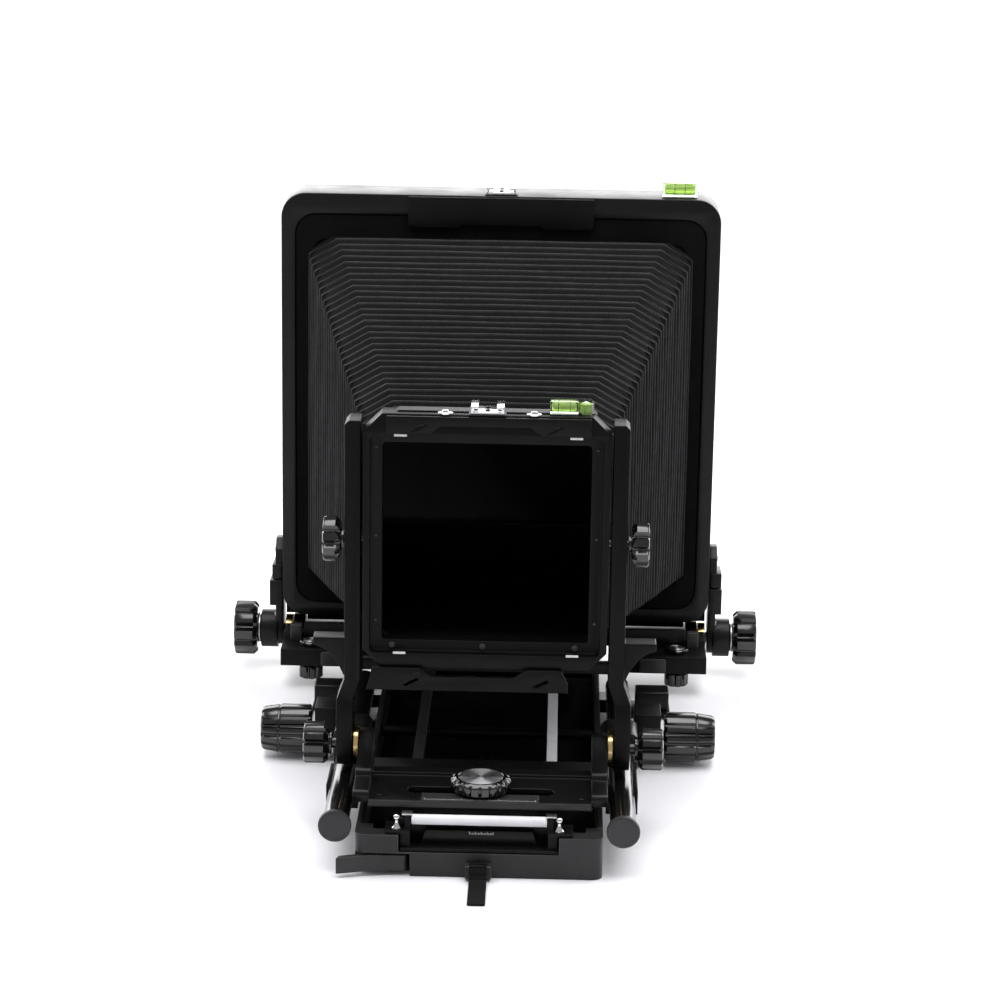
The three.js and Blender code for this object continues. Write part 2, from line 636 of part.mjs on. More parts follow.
// The arm on each side of the rear frame, which ends in the hub of the rear tilt.
function rearArms() {
  const inner = REAR_FRAME.half + GAP;
  const { y, z } = REAR_AXIS;
  const side = new THREE.Shape();
  side.moveTo(y - 12, z);
  side.lineTo(y + 12, z);
  side.lineTo(y + 12, 100);
  side.lineTo(y + 4, 108);
  side.lineTo(y - 4, 108);
  side.lineTo(y - 12, 100);
  const plate = swept("X", side, inner, 177.5);
  const block = box(inner, 182, y - 15, y + 13, 54, 75);
  const hubProfile = [[inner, 0], [inner, 13], [176, 13], [176, 15.5], [189.6, 15.5], [189.6, 0]];
  const hub = turned("X", hubProfile, y, z, 28);
  const hole = bar("X", 4.3, 160, 200, y, z, 20);
  addPair("rear_tilt_arm", cut(join(plate, block, hub), hole), SATIN);

  const { r, outer } = REAR_KNOB;
  const knob = { r, outer, depth: 2.6, flutes: 10, inner: 189.9, boltEnd: 150 };
  addPair("rear_tilt_knob", sideKnob({ ...knob, boltR: 4, neckR: 10.5, y, z }), BLACK);
}

function rearFrame() {
  const { half, bottom, top, depth, radius, rim, topRim, opening } = REAR_FRAME;
  const shell = swept("Y", roundedRect(-half, half, bottom, top, radius), REAR_Y, REAR_Y + depth, 6);
  const seat = roundedRect(-half + rim, half - rim, bottom + rim, top - topRim, 16);
  const rebate = swept("Y", seat, REAR_Y - 1, REAR_Y + 8, 4);
  const hole = roundedRect(-opening, opening, REAR_MID - opening, REAR_MID + opening, 8);
  const window = swept("Y", hole, REAR_Y - 1, REAR_Y + depth + 1, 3);
  add("rear_frame", cut(shell, rebate, window), SATIN);

  const plate = polygon([-72, top - 1], [72, top - 1], [72, 367.4], [64, 366], [34, 366], [30, 368.5],
    [-30, 368.5], [-34, 366], [-64, 366], [-72, 367.4]);
  add("bellows_catch", swept("Y", plate, REAR_Y - 3.2, REAR_Y - GAP), BLACK);
  add("rear_shoe", accessoryShoe(0, REAR_Y + 14, top + GAP, 20), STEEL);
  const levelBase = box(125, 152, REAR_Y + 6, REAR_Y + 18, top + GAP, top + 7);
  const vial = bar("X", 4.2, 128, 149, REAR_Y + 12, top + 7.4, 16);
  add("rear_level", join(levelBase, vial), GREEN);
}

// ---- Reversible back, and the sprung frame that holds the ground glass ----
function cameraBack() {
  const front = REAR_Y + REAR_FRAME.depth + GAP;
  const behind = front + BACK.thick;
  const { half, clearX, clearZ } = BACK;
  const plateOutline = roundedRect(-half, half, REAR_MID - half, REAR_MID + half, 14);
  const plate = swept("Y", plateOutline, front, behind, 5);
  const window = box(-clearX, clearX, front - 1, behind + 1, REAR_MID - clearZ, REAR_MID + clearZ);
  add("reversible_back", cut(plate, window), SATIN);

  const frameFront = behind + GAP;
  const frameBack = frameFront + GLASS.frameThick;
  const { halfX, halfZ, thick, frameX, frameZ } = GLASS;
  const outline = roundedRect(-frameX, frameX, REAR_MID - frameZ, REAR_MID + frameZ, 8);
  const seat = box(-halfX, halfX, frameFront - 1, frameFront + 4, REAR_MID - halfZ, REAR_MID + halfZ);
  const view = box(-125, 125, frameFront, frameBack + 1, REAR_MID - 100, REAR_MID + 100);
  add("glass_frame", cut(swept("Y", outline, frameFront, frameBack, 3), seat, view), BLACK);
  const pane = box(-halfX + 0.4, halfX - 0.4, frameFront + 0.6, frameFront + 0.6 + thick,
    REAR_MID - halfZ + 0.4, REAR_MID + halfZ - 0.4);
  add("ground_glass", pane, GLASSY);

  const { axisZ, rise, plate: sheet, r: barrelR } = COVER;
  const hingeY = frameBack + rise;
  const { half: wide, bottom, ribX } = COVER;
  const ribY = frameBack + sheet;
  const panel = box(-wide, wide, frameBack + GAP, frameBack + GAP + sheet, bottom, axisZ);
  const ribs = [-1, 1].map((s) =>
    box(s * ribX - 3, s * ribX + 3, ribY, ribY + 2, bottom + 8, axisZ - 8),
  );
  const barrels = [-1, 1].map((s) => bar("X", barrelR, s * 90 - 16, s * 90 + 16, hingeY, axisZ, 20));
  add("glass_cover", join(panel, ...ribs, ...barrels), BLACK);

  for (const [place, sign] of [["top", 1], ["bottom", -1]]) {
    const middle = REAR_MID + sign * 112;
    const leaf = box(-160, 160, frameBack + GAP, frameBack + 1.3, middle - 6, middle + 6);
    const foot = box(152, 160, frameFront, frameBack + 1, middle - 6, middle + 6);
    add("back_spring_" + place, join(leaf, foot, mirrored(foot)), STEEL);
  }
  const slide = join(
    box(96, 126, frameFront, frameFront + 3, REAR_MID + 140, REAR_MID + 152),
    box(106, 116, frameFront + 2, frameFront + 8, REAR_MID + 142, REAR_MID + 150),
  );
  addPair("back_catch", slide, BLACK);
}

// ---- Front of the bed: release lever, and the pull strap that hangs from the cast loop ----
function bedFittings() {
  const pivotX = -52;
  const pivotY = BED_FRONT + 4.6;
  const blade = swept(
    "Z",
    polygon(
      [1.5, -3.6], [3.4, -2.2], [3.4, 2.2], [1.5, 3.4], [-6, 3.4],
      [-27, -2], [-42, -7], [-43.5, -12], [-27, -7], [-6, -3.6],
    ),
    3,
    14.5,
  );
  blade.translate(pivotX, pivotY, 0);
  add("release_lever", blade, GREY);

  const strapStart = BED_FRONT - 7.3;
  const strap = swept(
    "X",
    polygon([strapStart, 0.3], [strapStart, 9], [strapStart - 1.4, 9], [strapStart - 4, 1.9],
      [strapStart - 42, 1.9], [strapStart - 42, 0.3]),
    -6,
    6,
  );
  add("pull_strap", strap, CLOTH);
}

bed();
bearings();
focusDrive();
frontCarriage();
roller();
crossPlate();
yokeKnobs();
yoke();
lensFrame();
bellows();
rearBase();
rearArms();
rearFrame();
cameraBack();
bedFittings();

export default root;
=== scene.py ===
import json
import math

import bmesh
import bpy
import numpy as np
from mathutils import Matrix, Vector


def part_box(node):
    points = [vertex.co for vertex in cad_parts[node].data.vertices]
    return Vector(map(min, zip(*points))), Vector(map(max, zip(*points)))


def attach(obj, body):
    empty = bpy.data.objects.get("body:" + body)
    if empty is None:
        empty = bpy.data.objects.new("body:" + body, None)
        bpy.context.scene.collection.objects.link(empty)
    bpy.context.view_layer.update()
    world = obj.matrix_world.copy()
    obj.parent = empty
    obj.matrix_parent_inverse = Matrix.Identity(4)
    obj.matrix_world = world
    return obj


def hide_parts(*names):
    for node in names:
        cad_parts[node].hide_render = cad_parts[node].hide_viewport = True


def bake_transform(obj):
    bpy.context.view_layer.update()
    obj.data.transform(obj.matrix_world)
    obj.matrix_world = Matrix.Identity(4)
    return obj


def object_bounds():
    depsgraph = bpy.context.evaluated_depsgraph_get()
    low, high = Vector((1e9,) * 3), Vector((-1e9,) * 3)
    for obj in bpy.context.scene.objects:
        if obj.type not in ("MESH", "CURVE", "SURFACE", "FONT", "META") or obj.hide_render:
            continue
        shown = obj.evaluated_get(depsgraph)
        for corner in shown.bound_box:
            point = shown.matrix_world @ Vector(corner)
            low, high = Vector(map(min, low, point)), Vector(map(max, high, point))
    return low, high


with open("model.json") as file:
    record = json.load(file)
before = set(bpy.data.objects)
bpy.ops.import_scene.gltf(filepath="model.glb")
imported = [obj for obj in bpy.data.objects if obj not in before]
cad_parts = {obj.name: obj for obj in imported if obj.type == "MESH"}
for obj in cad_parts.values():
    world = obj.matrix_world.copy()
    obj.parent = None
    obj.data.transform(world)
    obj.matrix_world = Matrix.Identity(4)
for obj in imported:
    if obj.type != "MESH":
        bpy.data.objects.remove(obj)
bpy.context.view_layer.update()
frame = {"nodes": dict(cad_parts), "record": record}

MM = 0.001
TAU = 2 * math.pi
BODY_OF = {n: b for b, names in frame["record"]["behaviour"]["bodies"].items() for n in names}
UP = Vector((0, 0, 1))
X, Y, Z = Vector((1, 0, 0)), Vector((0, 1, 0)), Vector((0, 0, 1))
SIDES = {"right": 1, "left": -1}


def mm(x, y, z):
    return Vector((x, y, z)) * MM


def scaled(*points):
    """Points given in millimetres, in metres."""
    return [tuple(value * MM for value in point) for point in points]


def centre(node):
    low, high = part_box(node)
    return (low + high) / 2


# ---- Camera ----
# A long lens, nearly square on to the lens end and looking down a little.
FRONT_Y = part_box("lens_frame")[0].y + 12 * MM
CAMERA_DISTANCE = 2.044
ELEVATION = math.radians(15.25)
AZIMUTH = math.radians(1.1)
ROLL = math.radians(0.9)
AIM = Vector((9 * MM, FRONT_Y, 238 * MM))


def make_camera():
    data = bpy.data.cameras.new("camera")
    data.sensor_width = 36
    data.lens = 108
    data.clip_start = 0.05
    data.clip_end = 50
    camera = bpy.data.objects.new("camera", data)
    bpy.context.scene.collection.objects.link(camera)
    forward = Vector(
        (
            -math.sin(AZIMUTH) * math.cos(ELEVATION),
            math.cos(AZIMUTH) * math.cos(ELEVATION),
            -math.sin(ELEVATION),
        )
    )
    right = forward.cross(UP).normalized()
    up = right.cross(forward)
    rolled_right = right * math.cos(ROLL) + up * math.sin(ROLL)
    rolled_up = up * math.cos(ROLL) - right * math.sin(ROLL)
    place = Matrix((rolled_right, rolled_up, -forward)).transposed().to_4x4()
    place.translation = AIM - forward * CAMERA_DISTANCE
    camera.matrix_world = place
    bpy.context.scene.camera = camera


make_camera()


# ---- Material helpers ----
class Look:
    """A node material under construction."""

    def __init__(self, name):
        self.material = bpy.data.materials.new(name)
        self.material.use_nodes = True
        self.nodes = self.material.node_tree.nodes
        self.links = self.material.node_tree.links
        self.shader = self.nodes["Principled BSDF"]
        self.coords = self.nodes.new("ShaderNodeTexCoord").outputs["Object"]

    def set(self, **values):
        for socket, value in values.items():
            self.shader.inputs[socket.replace("_", " ")].default_value = value
        return self

    def node(self, kind, inputs=None, **settings):
        made = self.nodes.new(kind)
        for key, value in settings.items():
            setattr(made, key, value)
        for key, value in (inputs or {}).items():
            if isinstance(value, bpy.types.NodeSocket):
                self.links.new(value, made.inputs[key])
            else:
                made.inputs[key].default_value = value
        return made

    def link(self, output, socket):
        self.links.new(output, self.shader.inputs[socket])

    def stretched(self, scale):
        mapping = self.node("ShaderNodeMapping", {"Vector": self.coords, "Scale": scale})
        return mapping.outputs["Vector"]

    def noise(self, scale, detail=3.0, rough=0.55, coords=None):
        inputs = {"Vector": coords or self.coords, "Scale": scale, "Detail": detail, "Roughness": rough}
        return self.node("ShaderNodeTexNoise", inputs).outputs["Fac"]

    def spread(self, value, low, high, start=0.3, end=0.7):
        inputs = {"Value": value, "From Min": start, "From Max": end, "To Min": low, "To Max": high}
        return self.node("ShaderNodeMapRange", inputs).outputs["Result"]

    def mix(self, factor, a, b):
        made = self.node("ShaderNodeMix", data_type="RGBA")
        for key, value in (("Factor", factor), ("A", a), ("B", b)):
            socket = next(s for s in made.inputs if s.name == key and s.enabled)
            if isinstance(value, bpy.types.NodeSocket):
                self.links.new(value, socket)
            else:
                socket.default_value = value
        return next(s for s in made.outputs if s.enabled)

    def math(self, operation, a, b=0.0):
        made = self.node("ShaderNodeMath", operation=operation)
        for socket, value in zip(made.inputs, (a, b)):
            if isinstance(value, bpy.types.NodeSocket):
                self.links.new(value, socket)
            else:
                socket.default_value = value
        return made.outputs[0]

    def bump(self, height, strength, distance, normal=None):
        inputs = {"Height": height, "Strength": strength, "Distance": distance}
        if normal is not None:
            inputs["Normal"] = normal
        made = self.node("ShaderNodeBump", inputs)
        self.link(made.outputs["Normal"], "Normal")
        return made.outputs["Normal"]

    def separate(self, axis):
        return self.node("ShaderNodeSeparateXYZ", {"Vector": self.coords}).outputs[axis]

    def edge(self, radius):
        """1 at sharp edges, 0 on flats."""
        rounded = self.node("ShaderNodeBevel", {"Radius": radius}, samples=4).outputs["Normal"]
        plain = self.node("ShaderNodeNewGeometry").outputs["Normal"]
        dot = self.node("ShaderNodeVectorMath", operation="DOT_PRODUCT")
        self.links.new(rounded, dot.inputs[0])
        self.links.new(plain, dot.inputs[1])
        return self.spread(dot.outputs["Value"], 1.0, 0.0, 0.72, 0.97)


def grey(value, alpha=1.0):
    return (value, value, value * 1.04, alpha)


def coated_metal(name, tone, roughness, specular, grain=1.0, edge_wear_and_highlight=0.5):
    """Blasted aluminium with a dark hard coat: fine grain, faint handling marks, paler edges that are
    partly wear and partly a painted highlight.
    """
    look = Look(name).set(Specular_IOR_Level=specular)
    cloud = look.noise(14.0, 4.0)
    tint = look.mix(look.spread(cloud, 0.0, 1.0), grey(tone * 0.8), grey(tone * 1.3))
    scuff = look.spread(look.noise(60.0, 6.0, 0.7), 0.0, 1.0, 0.62, 0.75)
    # paler edge colour: partly wear, partly a painted highlight where the edges catch the light
    wear_and_highlight = look.math("MULTIPLY", look.edge(0.8 * MM), look.spread(look.noise(90.0, 3.0), 0.15, 1.0))
    wear_and_highlight = look.math("MULTIPLY", wear_and_highlight, edge_wear_and_highlight)
    look.link(look.mix(wear_and_highlight, tint, grey(tone * 5 + 0.09)), "Base Color")
    smooth = look.spread(look.noise(35.0, 5.0), roughness - 0.06, roughness + 0.07)
    look.link(look.math("ADD", smooth, look.math("MULTIPLY", scuff, -0.05)), "Roughness")
    look.bump(look.noise(2600.0, 2.0), 0.25 * grain, 0.02 * MM)
    return look.material


def bare_metal(name, color, roughness, streak, anisotropy=0.0):
    """Cut metal with the fine lines of its machining along one direction."""
    look = Look(name).set(Metallic=1.0, Anisotropic=anisotropy)
    lines = look.noise(900.0, 3.0, 0.6, look.stretched(streak))
    shade = tuple(c * 0.78 for c in color)
    look.link(look.mix(look.spread(lines, 0.0, 1.0), (*shade, 1), (*color, 1)), "Base Color")
    look.link(look.spread(look.noise(40.0, 4.0), roughness - 0.05, roughness + 0.1), "Roughness")
    look.bump(lines, 0.15, 0.02 * MM)
    return look.material


def turned_metal(name, color, roughness):
    """A faced disc: round tool marks about Z, and the crossed highlight that they give."""
    look = Look(name).set(Metallic=1.0, Anisotropic=0.9, Anisotropic_Rotation=0.25)
    flat = look.stretched((1, 1, 0))
    distance = look.node("ShaderNodeVectorMath", {0: flat}, operation="LENGTH").outputs["Value"]
    rings = look.math("SINE", look.math("MULTIPLY", distance, 16000.0))
    ring = look.spread(rings, 0.0, 1.0, -1.0, 1.0)
    dark = tuple(c * 0.6 for c in color)
    look.link(look.mix(ring, (*dark, 1), (*color, 1)), "Base Color")
    tangent = look.node("ShaderNodeTangent", direction_type="RADIAL", axis="Z").outputs[0]
    look.link(tangent, "Tangent")
    look.link(look.spread(look.noise(50.0), roughness - 0.04, roughness + 0.05), "Roughness")
    look.bump(rings, 0.1, 0.01 * MM)
    return look.material


def moulded(name, tone, roughness, specular=0.5, grain=0.3):
    """Moulded or lacquered gloss surface with a faint orange peel and finger marks."""
    look = Look(name).set(Specular_IOR_Level=specular, Coat_Weight=0.25, Coat_Roughness=0.12)
    cloud = look.spread(look.noise(30.0), 0.0, 1.0)
    look.link(look.mix(cloud, grey(tone * 0.8), grey(tone * 1.25)), "Base Color")
    look.link(look.spread(look.noise(120.0, 5.0, 0.65), roughness - 0.05, roughness + 0.08), "Roughness")
    look.bump(look.noise(700.0, 2.0), grain, 0.02 * MM)
    return look.material


def bellows_cloth():
    """Rubber-coated black cloth: a fine weave under a satin coat, paler along the fold ridges, partly
    scuffing and partly a painted highlight of the ridge lines.
    """
    look = Look("bellows_cloth").set(Specular_IOR_Level=0.045)
    weave_x = look.math("SINE", look.math("MULTIPLY", look.separate("X"), 7000.0))
    weave_z = look.math("SINE", look.math("MULTIPLY", look.separate("Z"), 7000.0))
    weave_y = look.math("SINE", look.math("MULTIPLY", look.separate("Y"), 7000.0))
    weave = look.math("MULTIPLY", look.math("ADD", weave_x, weave_z), weave_y)
    # paler colour along the fold ridges: partly scuffing, partly a painted highlight of the ridge lines
    ridge_wear_and_highlight = look.node("ShaderNodeAttribute", attribute_name="ridge_wear_and_highlight").outputs["Fac"]
    wear_and_highlight = look.math("MULTIPLY", ridge_wear_and_highlight, look.spread(look.noise(160.0, 4.0), 0.55, 1.0))
    cloud = look.mix(look.spread(look.noise(18.0, 5.0), 0.0, 1.0), grey(0.003), grey(0.005))
    look.link(look.mix(wear_and_highlight, cloud, grey(0.045)), "Base Color")
    rough = look.spread(look.noise(55.0, 4.0), 0.56, 0.7)
    look.link(look.math("SUBTRACT", rough, look.math("MULTIPLY", ridge_wear_and_highlight, 0.12)), "Roughness")
    grain = look.math("ADD", look.math("MULTIPLY", weave, 0.25), look.noise(1500.0, 3.0))
    look.bump(grain, 0.35, 0.05 * MM)
    return look.material


def webbing():
    """Narrow woven strap: rows of twill that run along it, with a matt thread."""
    look = Look("strap_web").set(Specular_IOR_Level=0.08, Sheen_Weight=0.03, Sheen_Roughness=0.5)
    across = look.math("SINE", look.math("MULTIPLY", look.separate("X"), 5200.0))
    along = look.math("ADD", look.separate("Y"), look.math("MULTIPLY", look.separate("X"), 0.6))
    rows = look.math("SINE", look.math("MULTIPLY", along, 4200.0))
    thread = look.spread(look.math("MULTIPLY", across, rows), 0.0, 1.0, -1.0, 1.0)
    look.link(look.mix(thread, grey(0.003), grey(0.008)), "Base Color")
    look.link(look.spread(look.noise(80.0), 0.55, 0.75), "Roughness")
    look.bump(thread, 0.6, 0.15 * MM)
    return look.material


def clear_glass(name, color, roughness, frosted=False):
    look = Look(name).set(Transmission_Weight=1.0, IOR=1.12 if frosted else 1.48)
    cloud = look.spread(look.noise(40.0), 0.0, 1.0)
    shade = tuple(c * 0.93 for c in color)
    look.link(look.mix(cloud, (*shade, 1), (*color, 1)), "Base Color")
    if frosted:
        fine = look.noise(3000.0, 2.0)
        look.link(look.spread(fine, roughness - 0.08, roughness + 0.08), "Roughness")
        look.bump(fine, 0.3, 0.03 * MM)
    else:
        look.link(look.spread(look.noise(60.0), roughness, roughness + 0.03), "Roughness")
    return look.material


def level_fluid():
    """Bright yellow-green spirit in the level vials."""
    look = Look("level_green").set(Transmission_Weight=0.55, IOR=1.38)
    shade = look.spread(look.noise(220.0, 3.0), 0.0, 1.0)
    look.link(look.mix(shade, (0.42, 0.72, 0.08, 1), (0.7, 0.9, 0.22, 1)), "Base Color")
    look.link(look.spread(look.noise(90.0), 0.04, 0.1), "Roughness")
    return look.material


def white_film(name, tone):
    look = Look(name)
    cloud = look.spread(look.noise(60.0, 4.0), 0.0, 1.0)
    look.link(look.mix(cloud, grey(tone * 0.86), grey(tone)), "Base Color")
    look.link(look.spread(look.noise(150.0, 4.0), 0.3, 0.45), "Roughness")
    look.bump(look.noise(900.0, 2.0), 0.12, 0.02 * MM)
    return look.material


SATIN = coated_metal("satin_black", 0.0045, 0.32, 0.2, 1.0, 0.8)
DEEP_SATIN = coated_metal("satin_black.deep", 0.003, 0.36, 0.12, 1.0, 0.9)
DARK_STEEL = coated_metal("bare_steel.dark", 0.004, 0.36, 0.15, 1.0, 0.9)
# a lighter copy of the satin black: painted light for the floor light that the bed's low faces and the
# cross plate's lip reflect
SATIN_PAINTED_LIGHTER = coated_metal("satin_black.painted_lighter", 0.014, 0.4, 0.32, 1.0, 0.8)
MATTE = coated_metal("matte_black", 0.003, 0.4, 0.14, 1.4, 0.35)
DARK_GREY = coated_metal("dark_grey", 0.022, 0.4, 0.35)
KNOB = moulded("knob_black", 0.003, 0.13, 0.6, 0.12)
CLOTH = bellows_cloth()
GLOSS = coated_metal("satin_black.gloss", 0.004, 0.16, 0.55, 0.4, 0.6)
# pale finish for the strip on the right rack, a painted highlight
PALE_HIGHLIGHT = white_film("rack_highlight_pale", 0.86)
STEEL = bare_metal("bare_steel", (0.66, 0.65, 0.63), 0.3, (1, 0.04, 1))
CHROME = bare_metal("shoe_metal", (0.8, 0.8, 0.81), 0.14, (0.1, 1, 1))
SPRING = bare_metal("spring_steel", (0.23, 0.23, 0.25), 0.3, (0.04, 1, 1))
BRASS = bare_metal("brass", (0.78, 0.57, 0.25), 0.22, (1, 0.1, 1))
TURNED = turned_metal("turned_disc", (0.7, 0.7, 0.72), 0.36)
WEB = webbing()
WHITE = white_film("white_roller", 0.8)
INK = white_film("index_white", 0.72)
GROUND_GLASS = clear_glass("ground_glass", (0.36, 0.39, 0.38), 0.5, frosted=True)
ACRYLIC = clear_glass("vial_acrylic", (0.86, 0.95, 0.8), 0.03)
FLUID = level_fluid()
# near-black finish for the slot inlays: painted shade in place of cut slots
SLOT_SHADE = coated_metal("painted_slot_shade", 0.003, 0.75, 0.1, 1.2, 0.0)


# ---- Mesh helpers ----
def finish_mesh(name, mesh, material, body, stands_for=(), angle=32):
    """Links a mesh as a piece, with its creases, finish, body, and the nodes it stands for."""
    mesh.shade_smooth()
    mesh.set_sharp_from_angle(angle=math.radians(angle))
    if not mesh.materials:
        mesh.materials.append(material)
    piece = bpy.data.objects.new(name, mesh)
    bpy.context.scene.collection.objects.link(piece)
    if body:
        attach(piece, body)
    if stands_for:
        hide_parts(*stands_for)
    return piece


def mesh_of(name, vertices, faces):
    mesh = bpy.data.meshes.new(name)
    mesh.from_pydata([tuple(v) for v in vertices], [], faces)
    mesh.validate()
    return mesh


def frame_of(axis):
    """Two unit directions square to an axis."""
    axis = Vector(axis).normalized()
    first = X if abs(axis.x) < 0.9 else Y
    u = (first - axis * first.dot(axis)).normalized()
    return axis, u, axis.cross(u)


def revolve(profile, origin, axis, segments=48, radius_at=None, closed=False):
    """Vertices and faces of a turned shape. profile holds (distance along the axis, radius) from end
    to end; radius_at(index, angle, radius) may change the radius round the turn."""
    axis, u, v = frame_of(axis)
    vertices, rings = [], []
    for i, (along, radius) in enumerate(profile):
        if radius < 1e-7:
            rings.append([len(vertices)] * segments)
            vertices.append(Vector(origin) + axis * along)
            continue
        ring = []
        for k in range(segments):
            angle = TAU * k / segments
            r = radius_at(i, angle, radius) if radius_at else radius
            ring.append(len(vertices))
            vertices.append(Vector(origin) + axis * along + (u * math.cos(angle) + v * math.sin(angle)) * r)
        rings.append(ring)
    faces = []
    pairs = list(zip(rings, rings[1:]))
    if closed:
        pairs.append((rings[-1], rings[0]))
    for low, high in pairs:
        for k in range(segments):
            n = (k + 1) % segments
            face = [low[k], low[n], high[n], high[k]]
            face = [f for j, f in enumerate(face) if f != face[j - 1]]
            if len(face) > 2:
                faces.append(face)
    return vertices, faces


class Shape:
    """Several shapes gathered into one mesh."""

    def __init__(self):
        self.vertices, self.faces = [], []

    def add(self, vertices, faces):
        shift = len(self.vertices)
        self.vertices += list(vertices)
        self.faces += [[i + shift for i in f] for f in faces]
        return self

    def turned(self, profile, origin, axis, segments=48, radius_at=None, closed=False):
        return self.add(*revolve(profile, origin, axis, segments, radius_at, closed))

    def block(self, low, high, bevel=0.3 * MM, segments=2):
        """A box with rounded edges."""
        bm = bmesh.new()
        bmesh.ops.create_cube(bm, size=1)
        size = Vector(high) - Vector(low)
        middle = (Vector(high) + Vector(low)) / 2
        for v in bm.verts:
            v.co = Vector((v.co.x * size.x, v.co.y * size.y, v.co.z * size.z)) + middle
        if bevel:
            edges = list(bm.edges)
            bmesh.ops.bevel(bm, geom=edges, offset=bevel, segments=segments, profile=0.5, affect="EDGES")
        return self.take(bm)

    def take(self, bm):
        bm.verts.index_update()
        self.add([v.co.copy() for v in bm.verts], [[v.index for v in f.verts] for f in bm.faces])
        bm.free()
        return self

    def prism(self, outline, normal, low, high, bevel=0.3 * MM, segments=2):
        """An outline in the plane square to `normal` ("X", "Y" or "Z"), from low to high along it."""
        place = {
            "X": lambda u, v, w: Vector((w, u, v)),
            "Y": lambda u, v, w: Vector((u, w, v)),
            "Z": lambda u, v, w: Vector((u, v, w)),
        }[normal]
        bm = bmesh.new()
        face = bm.faces.new([bm.verts.new(place(u, v, low)) for u, v in outline])
        made = bmesh.ops.extrude_face_region(bm, geom=[face])
        moved = [g for g in made["geom"] if isinstance(g, bmesh.types.BMVert)]
        bmesh.ops.translate(bm, verts=moved, vec=place(0, 0, high - low))
        bmesh.ops.recalc_face_normals(bm, faces=bm.faces)
        if bevel:
            sharp = [e for e in bm.edges if e.calc_face_angle(0) > math.radians(30)]
            bmesh.ops.bevel(bm, geom=sharp, offset=bevel, segments=segments, profile=0.5, affect="EDGES")
        return self.take(bm)

    def piece(self, name, material, body, stands_for=(), angle=32):
        mesh = mesh_of(name, self.vertices, self.faces)
        bm = bmesh.new()
        bm.from_mesh(mesh)
        bmesh.ops.recalc_face_normals(bm, faces=bm.faces)
        bm.to_mesh(mesh)
        bm.free()
        return finish_mesh(name, mesh, material, body, stands_for, angle)


def rounded(u0, u1, v0, v1, radius, steps=6):
    """A rectangle with round corners, as points."""
    points = []
    for u, v, start in ((u1, v0, -90), (u1, v1, 0), (u0, v1, 90), (u0, v0, 180)):
        mid_u = u - radius if u == u1 else u + radius
        mid_v = v - radius if v == v1 else v + radius
        for k in range(steps + 1):
            angle = math.radians(start + 90 * k / steps)
            points.append((mid_u + radius * math.cos(angle), mid_v + radius * math.sin(angle)))
    return points


def plate_with_hole(name, outline, hole, y0, y1, material, body, edge=0.35 * MM, stands_for=()):
    """A flat ring between two outlines with the same number of points, its edges eased."""
    middle = Vector((sum(p[0] for p in outline), sum(p[1] for p in outline))) / len(outline)

    def moved(points, step):
        made = []
        for u, v in points:
            away = (Vector((u, v)) - middle).normalized()
            made.append((u + away.x * step, v + away.y * step))
        return made

    loops = [
        (moved(hole, edge), y0), (moved(outline, -edge), y0), (outline, y0 + edge),
        (outline, y1 - edge), (moved(outline, -edge), y1), (moved(hole, edge), y1),
        (hole, y1 - edge), (hole, y0 + edge),
    ]
    count = len(outline)
    vertices = [Vector((u, y, v)) for points, y in loops for u, v in points]
    faces = []
    for i in range(len(loops)):
        j = (i + 1) % len(loops)
        for k in range(count):
            n = (k + 1) % count
            faces.append([i * count + k, i * count + n, j * count + n, j * count + k])
    return Shape().add(vertices, faces).piece(name, material, body, stands_for)


def refined(node, material, bevel=0.5 * MM, segments=2):
    """The CAD node's own shape with its flat faces made whole and its edges rounded."""
    source = frame["nodes"][node].data
    bm = bmesh.new()
    bm.from_mesh(source)
    bmesh.ops.remove_doubles(bm, verts=bm.verts, dist=1e-6)
    bmesh.ops.dissolve_limit(bm, angle_limit=math.radians(1), verts=bm.verts, edges=bm.edges)
    sharp = [e for e in bm.edges if e.is_manifold and e.calc_face_angle(0) > math.radians(34)]
    if bevel:
        bmesh.ops.bevel(bm, geom=sharp, offset=bevel, segments=segments, profile=0.6, affect="EDGES")
    mesh = bpy.data.meshes.new(node + "_fine")
    bm.to_mesh(mesh)
    bm.free()
    mesh.materials.clear()
    return finish_mesh(node + "_fine", mesh, material, BODY_OF[node], (node,), 40)


# ---- Rigid pieces that keep the CAD shape, with rounded edges ----
def pair(*names):
    return [n + side for n in names for side in ("_left", "_right")]


def rigid_pieces():
    satin = ["cross_plate", "rear_frame", "reversible_back"] + pair("tube_bearing", "rear_tilt_arm")
    matte = ["bed_floor", "rear_saddle", "front_carriage", "yoke_tie", "board_lock_top"]
    matte += ["board_lock_bottom", "rear_base_plate", "bellows_catch", "glass_frame"]
    matte += pair("focus_housing", "back_catch")
    for node in satin:
        refined(node, SATIN, 0.7 * MM, 2)
    for node in ["lens_frame"] + pair("yoke_arm"):
        refined(node, DEEP_SATIN, 0.7 * MM, 2)
    for node in pair("bed_side"):
        refined(node, SATIN_PAINTED_LIGHTER, 0.7 * MM, 2)
    refined("tripod_plate", DARK_STEEL, 0)
    for node in matte:
        refined(node, MATTE, 0.45 * MM, 2)
    for node in ["swing_stud"] + pair("rise_block"):
        refined(node, STEEL, 0.4 * MM, 2)
    for node in ["front_shoe", "rear_shoe"]:
        refined(node, CHROME, 0.25 * MM, 2)
    refined("roller_bracket", MATTE, 0.3 * MM, 2)
    refined("bed_front_block", SATIN_PAINTED_LIGHTER, 0)
    refined("glass_cover", MATTE, 0.4 * MM, 2)


# ---- Hand knobs ----
def flute(angle, count, width=0.5, sharp=1.0):
    """0 on a knob's lobes and up to 1 at the bottom of its flutes."""
    phase = (angle * count / TAU) % 1.0
    if abs(phase - 0.5) >= width / 2:
        return 0.0
    return math.cos(math.pi * (phase - 0.5) / width) ** sharp


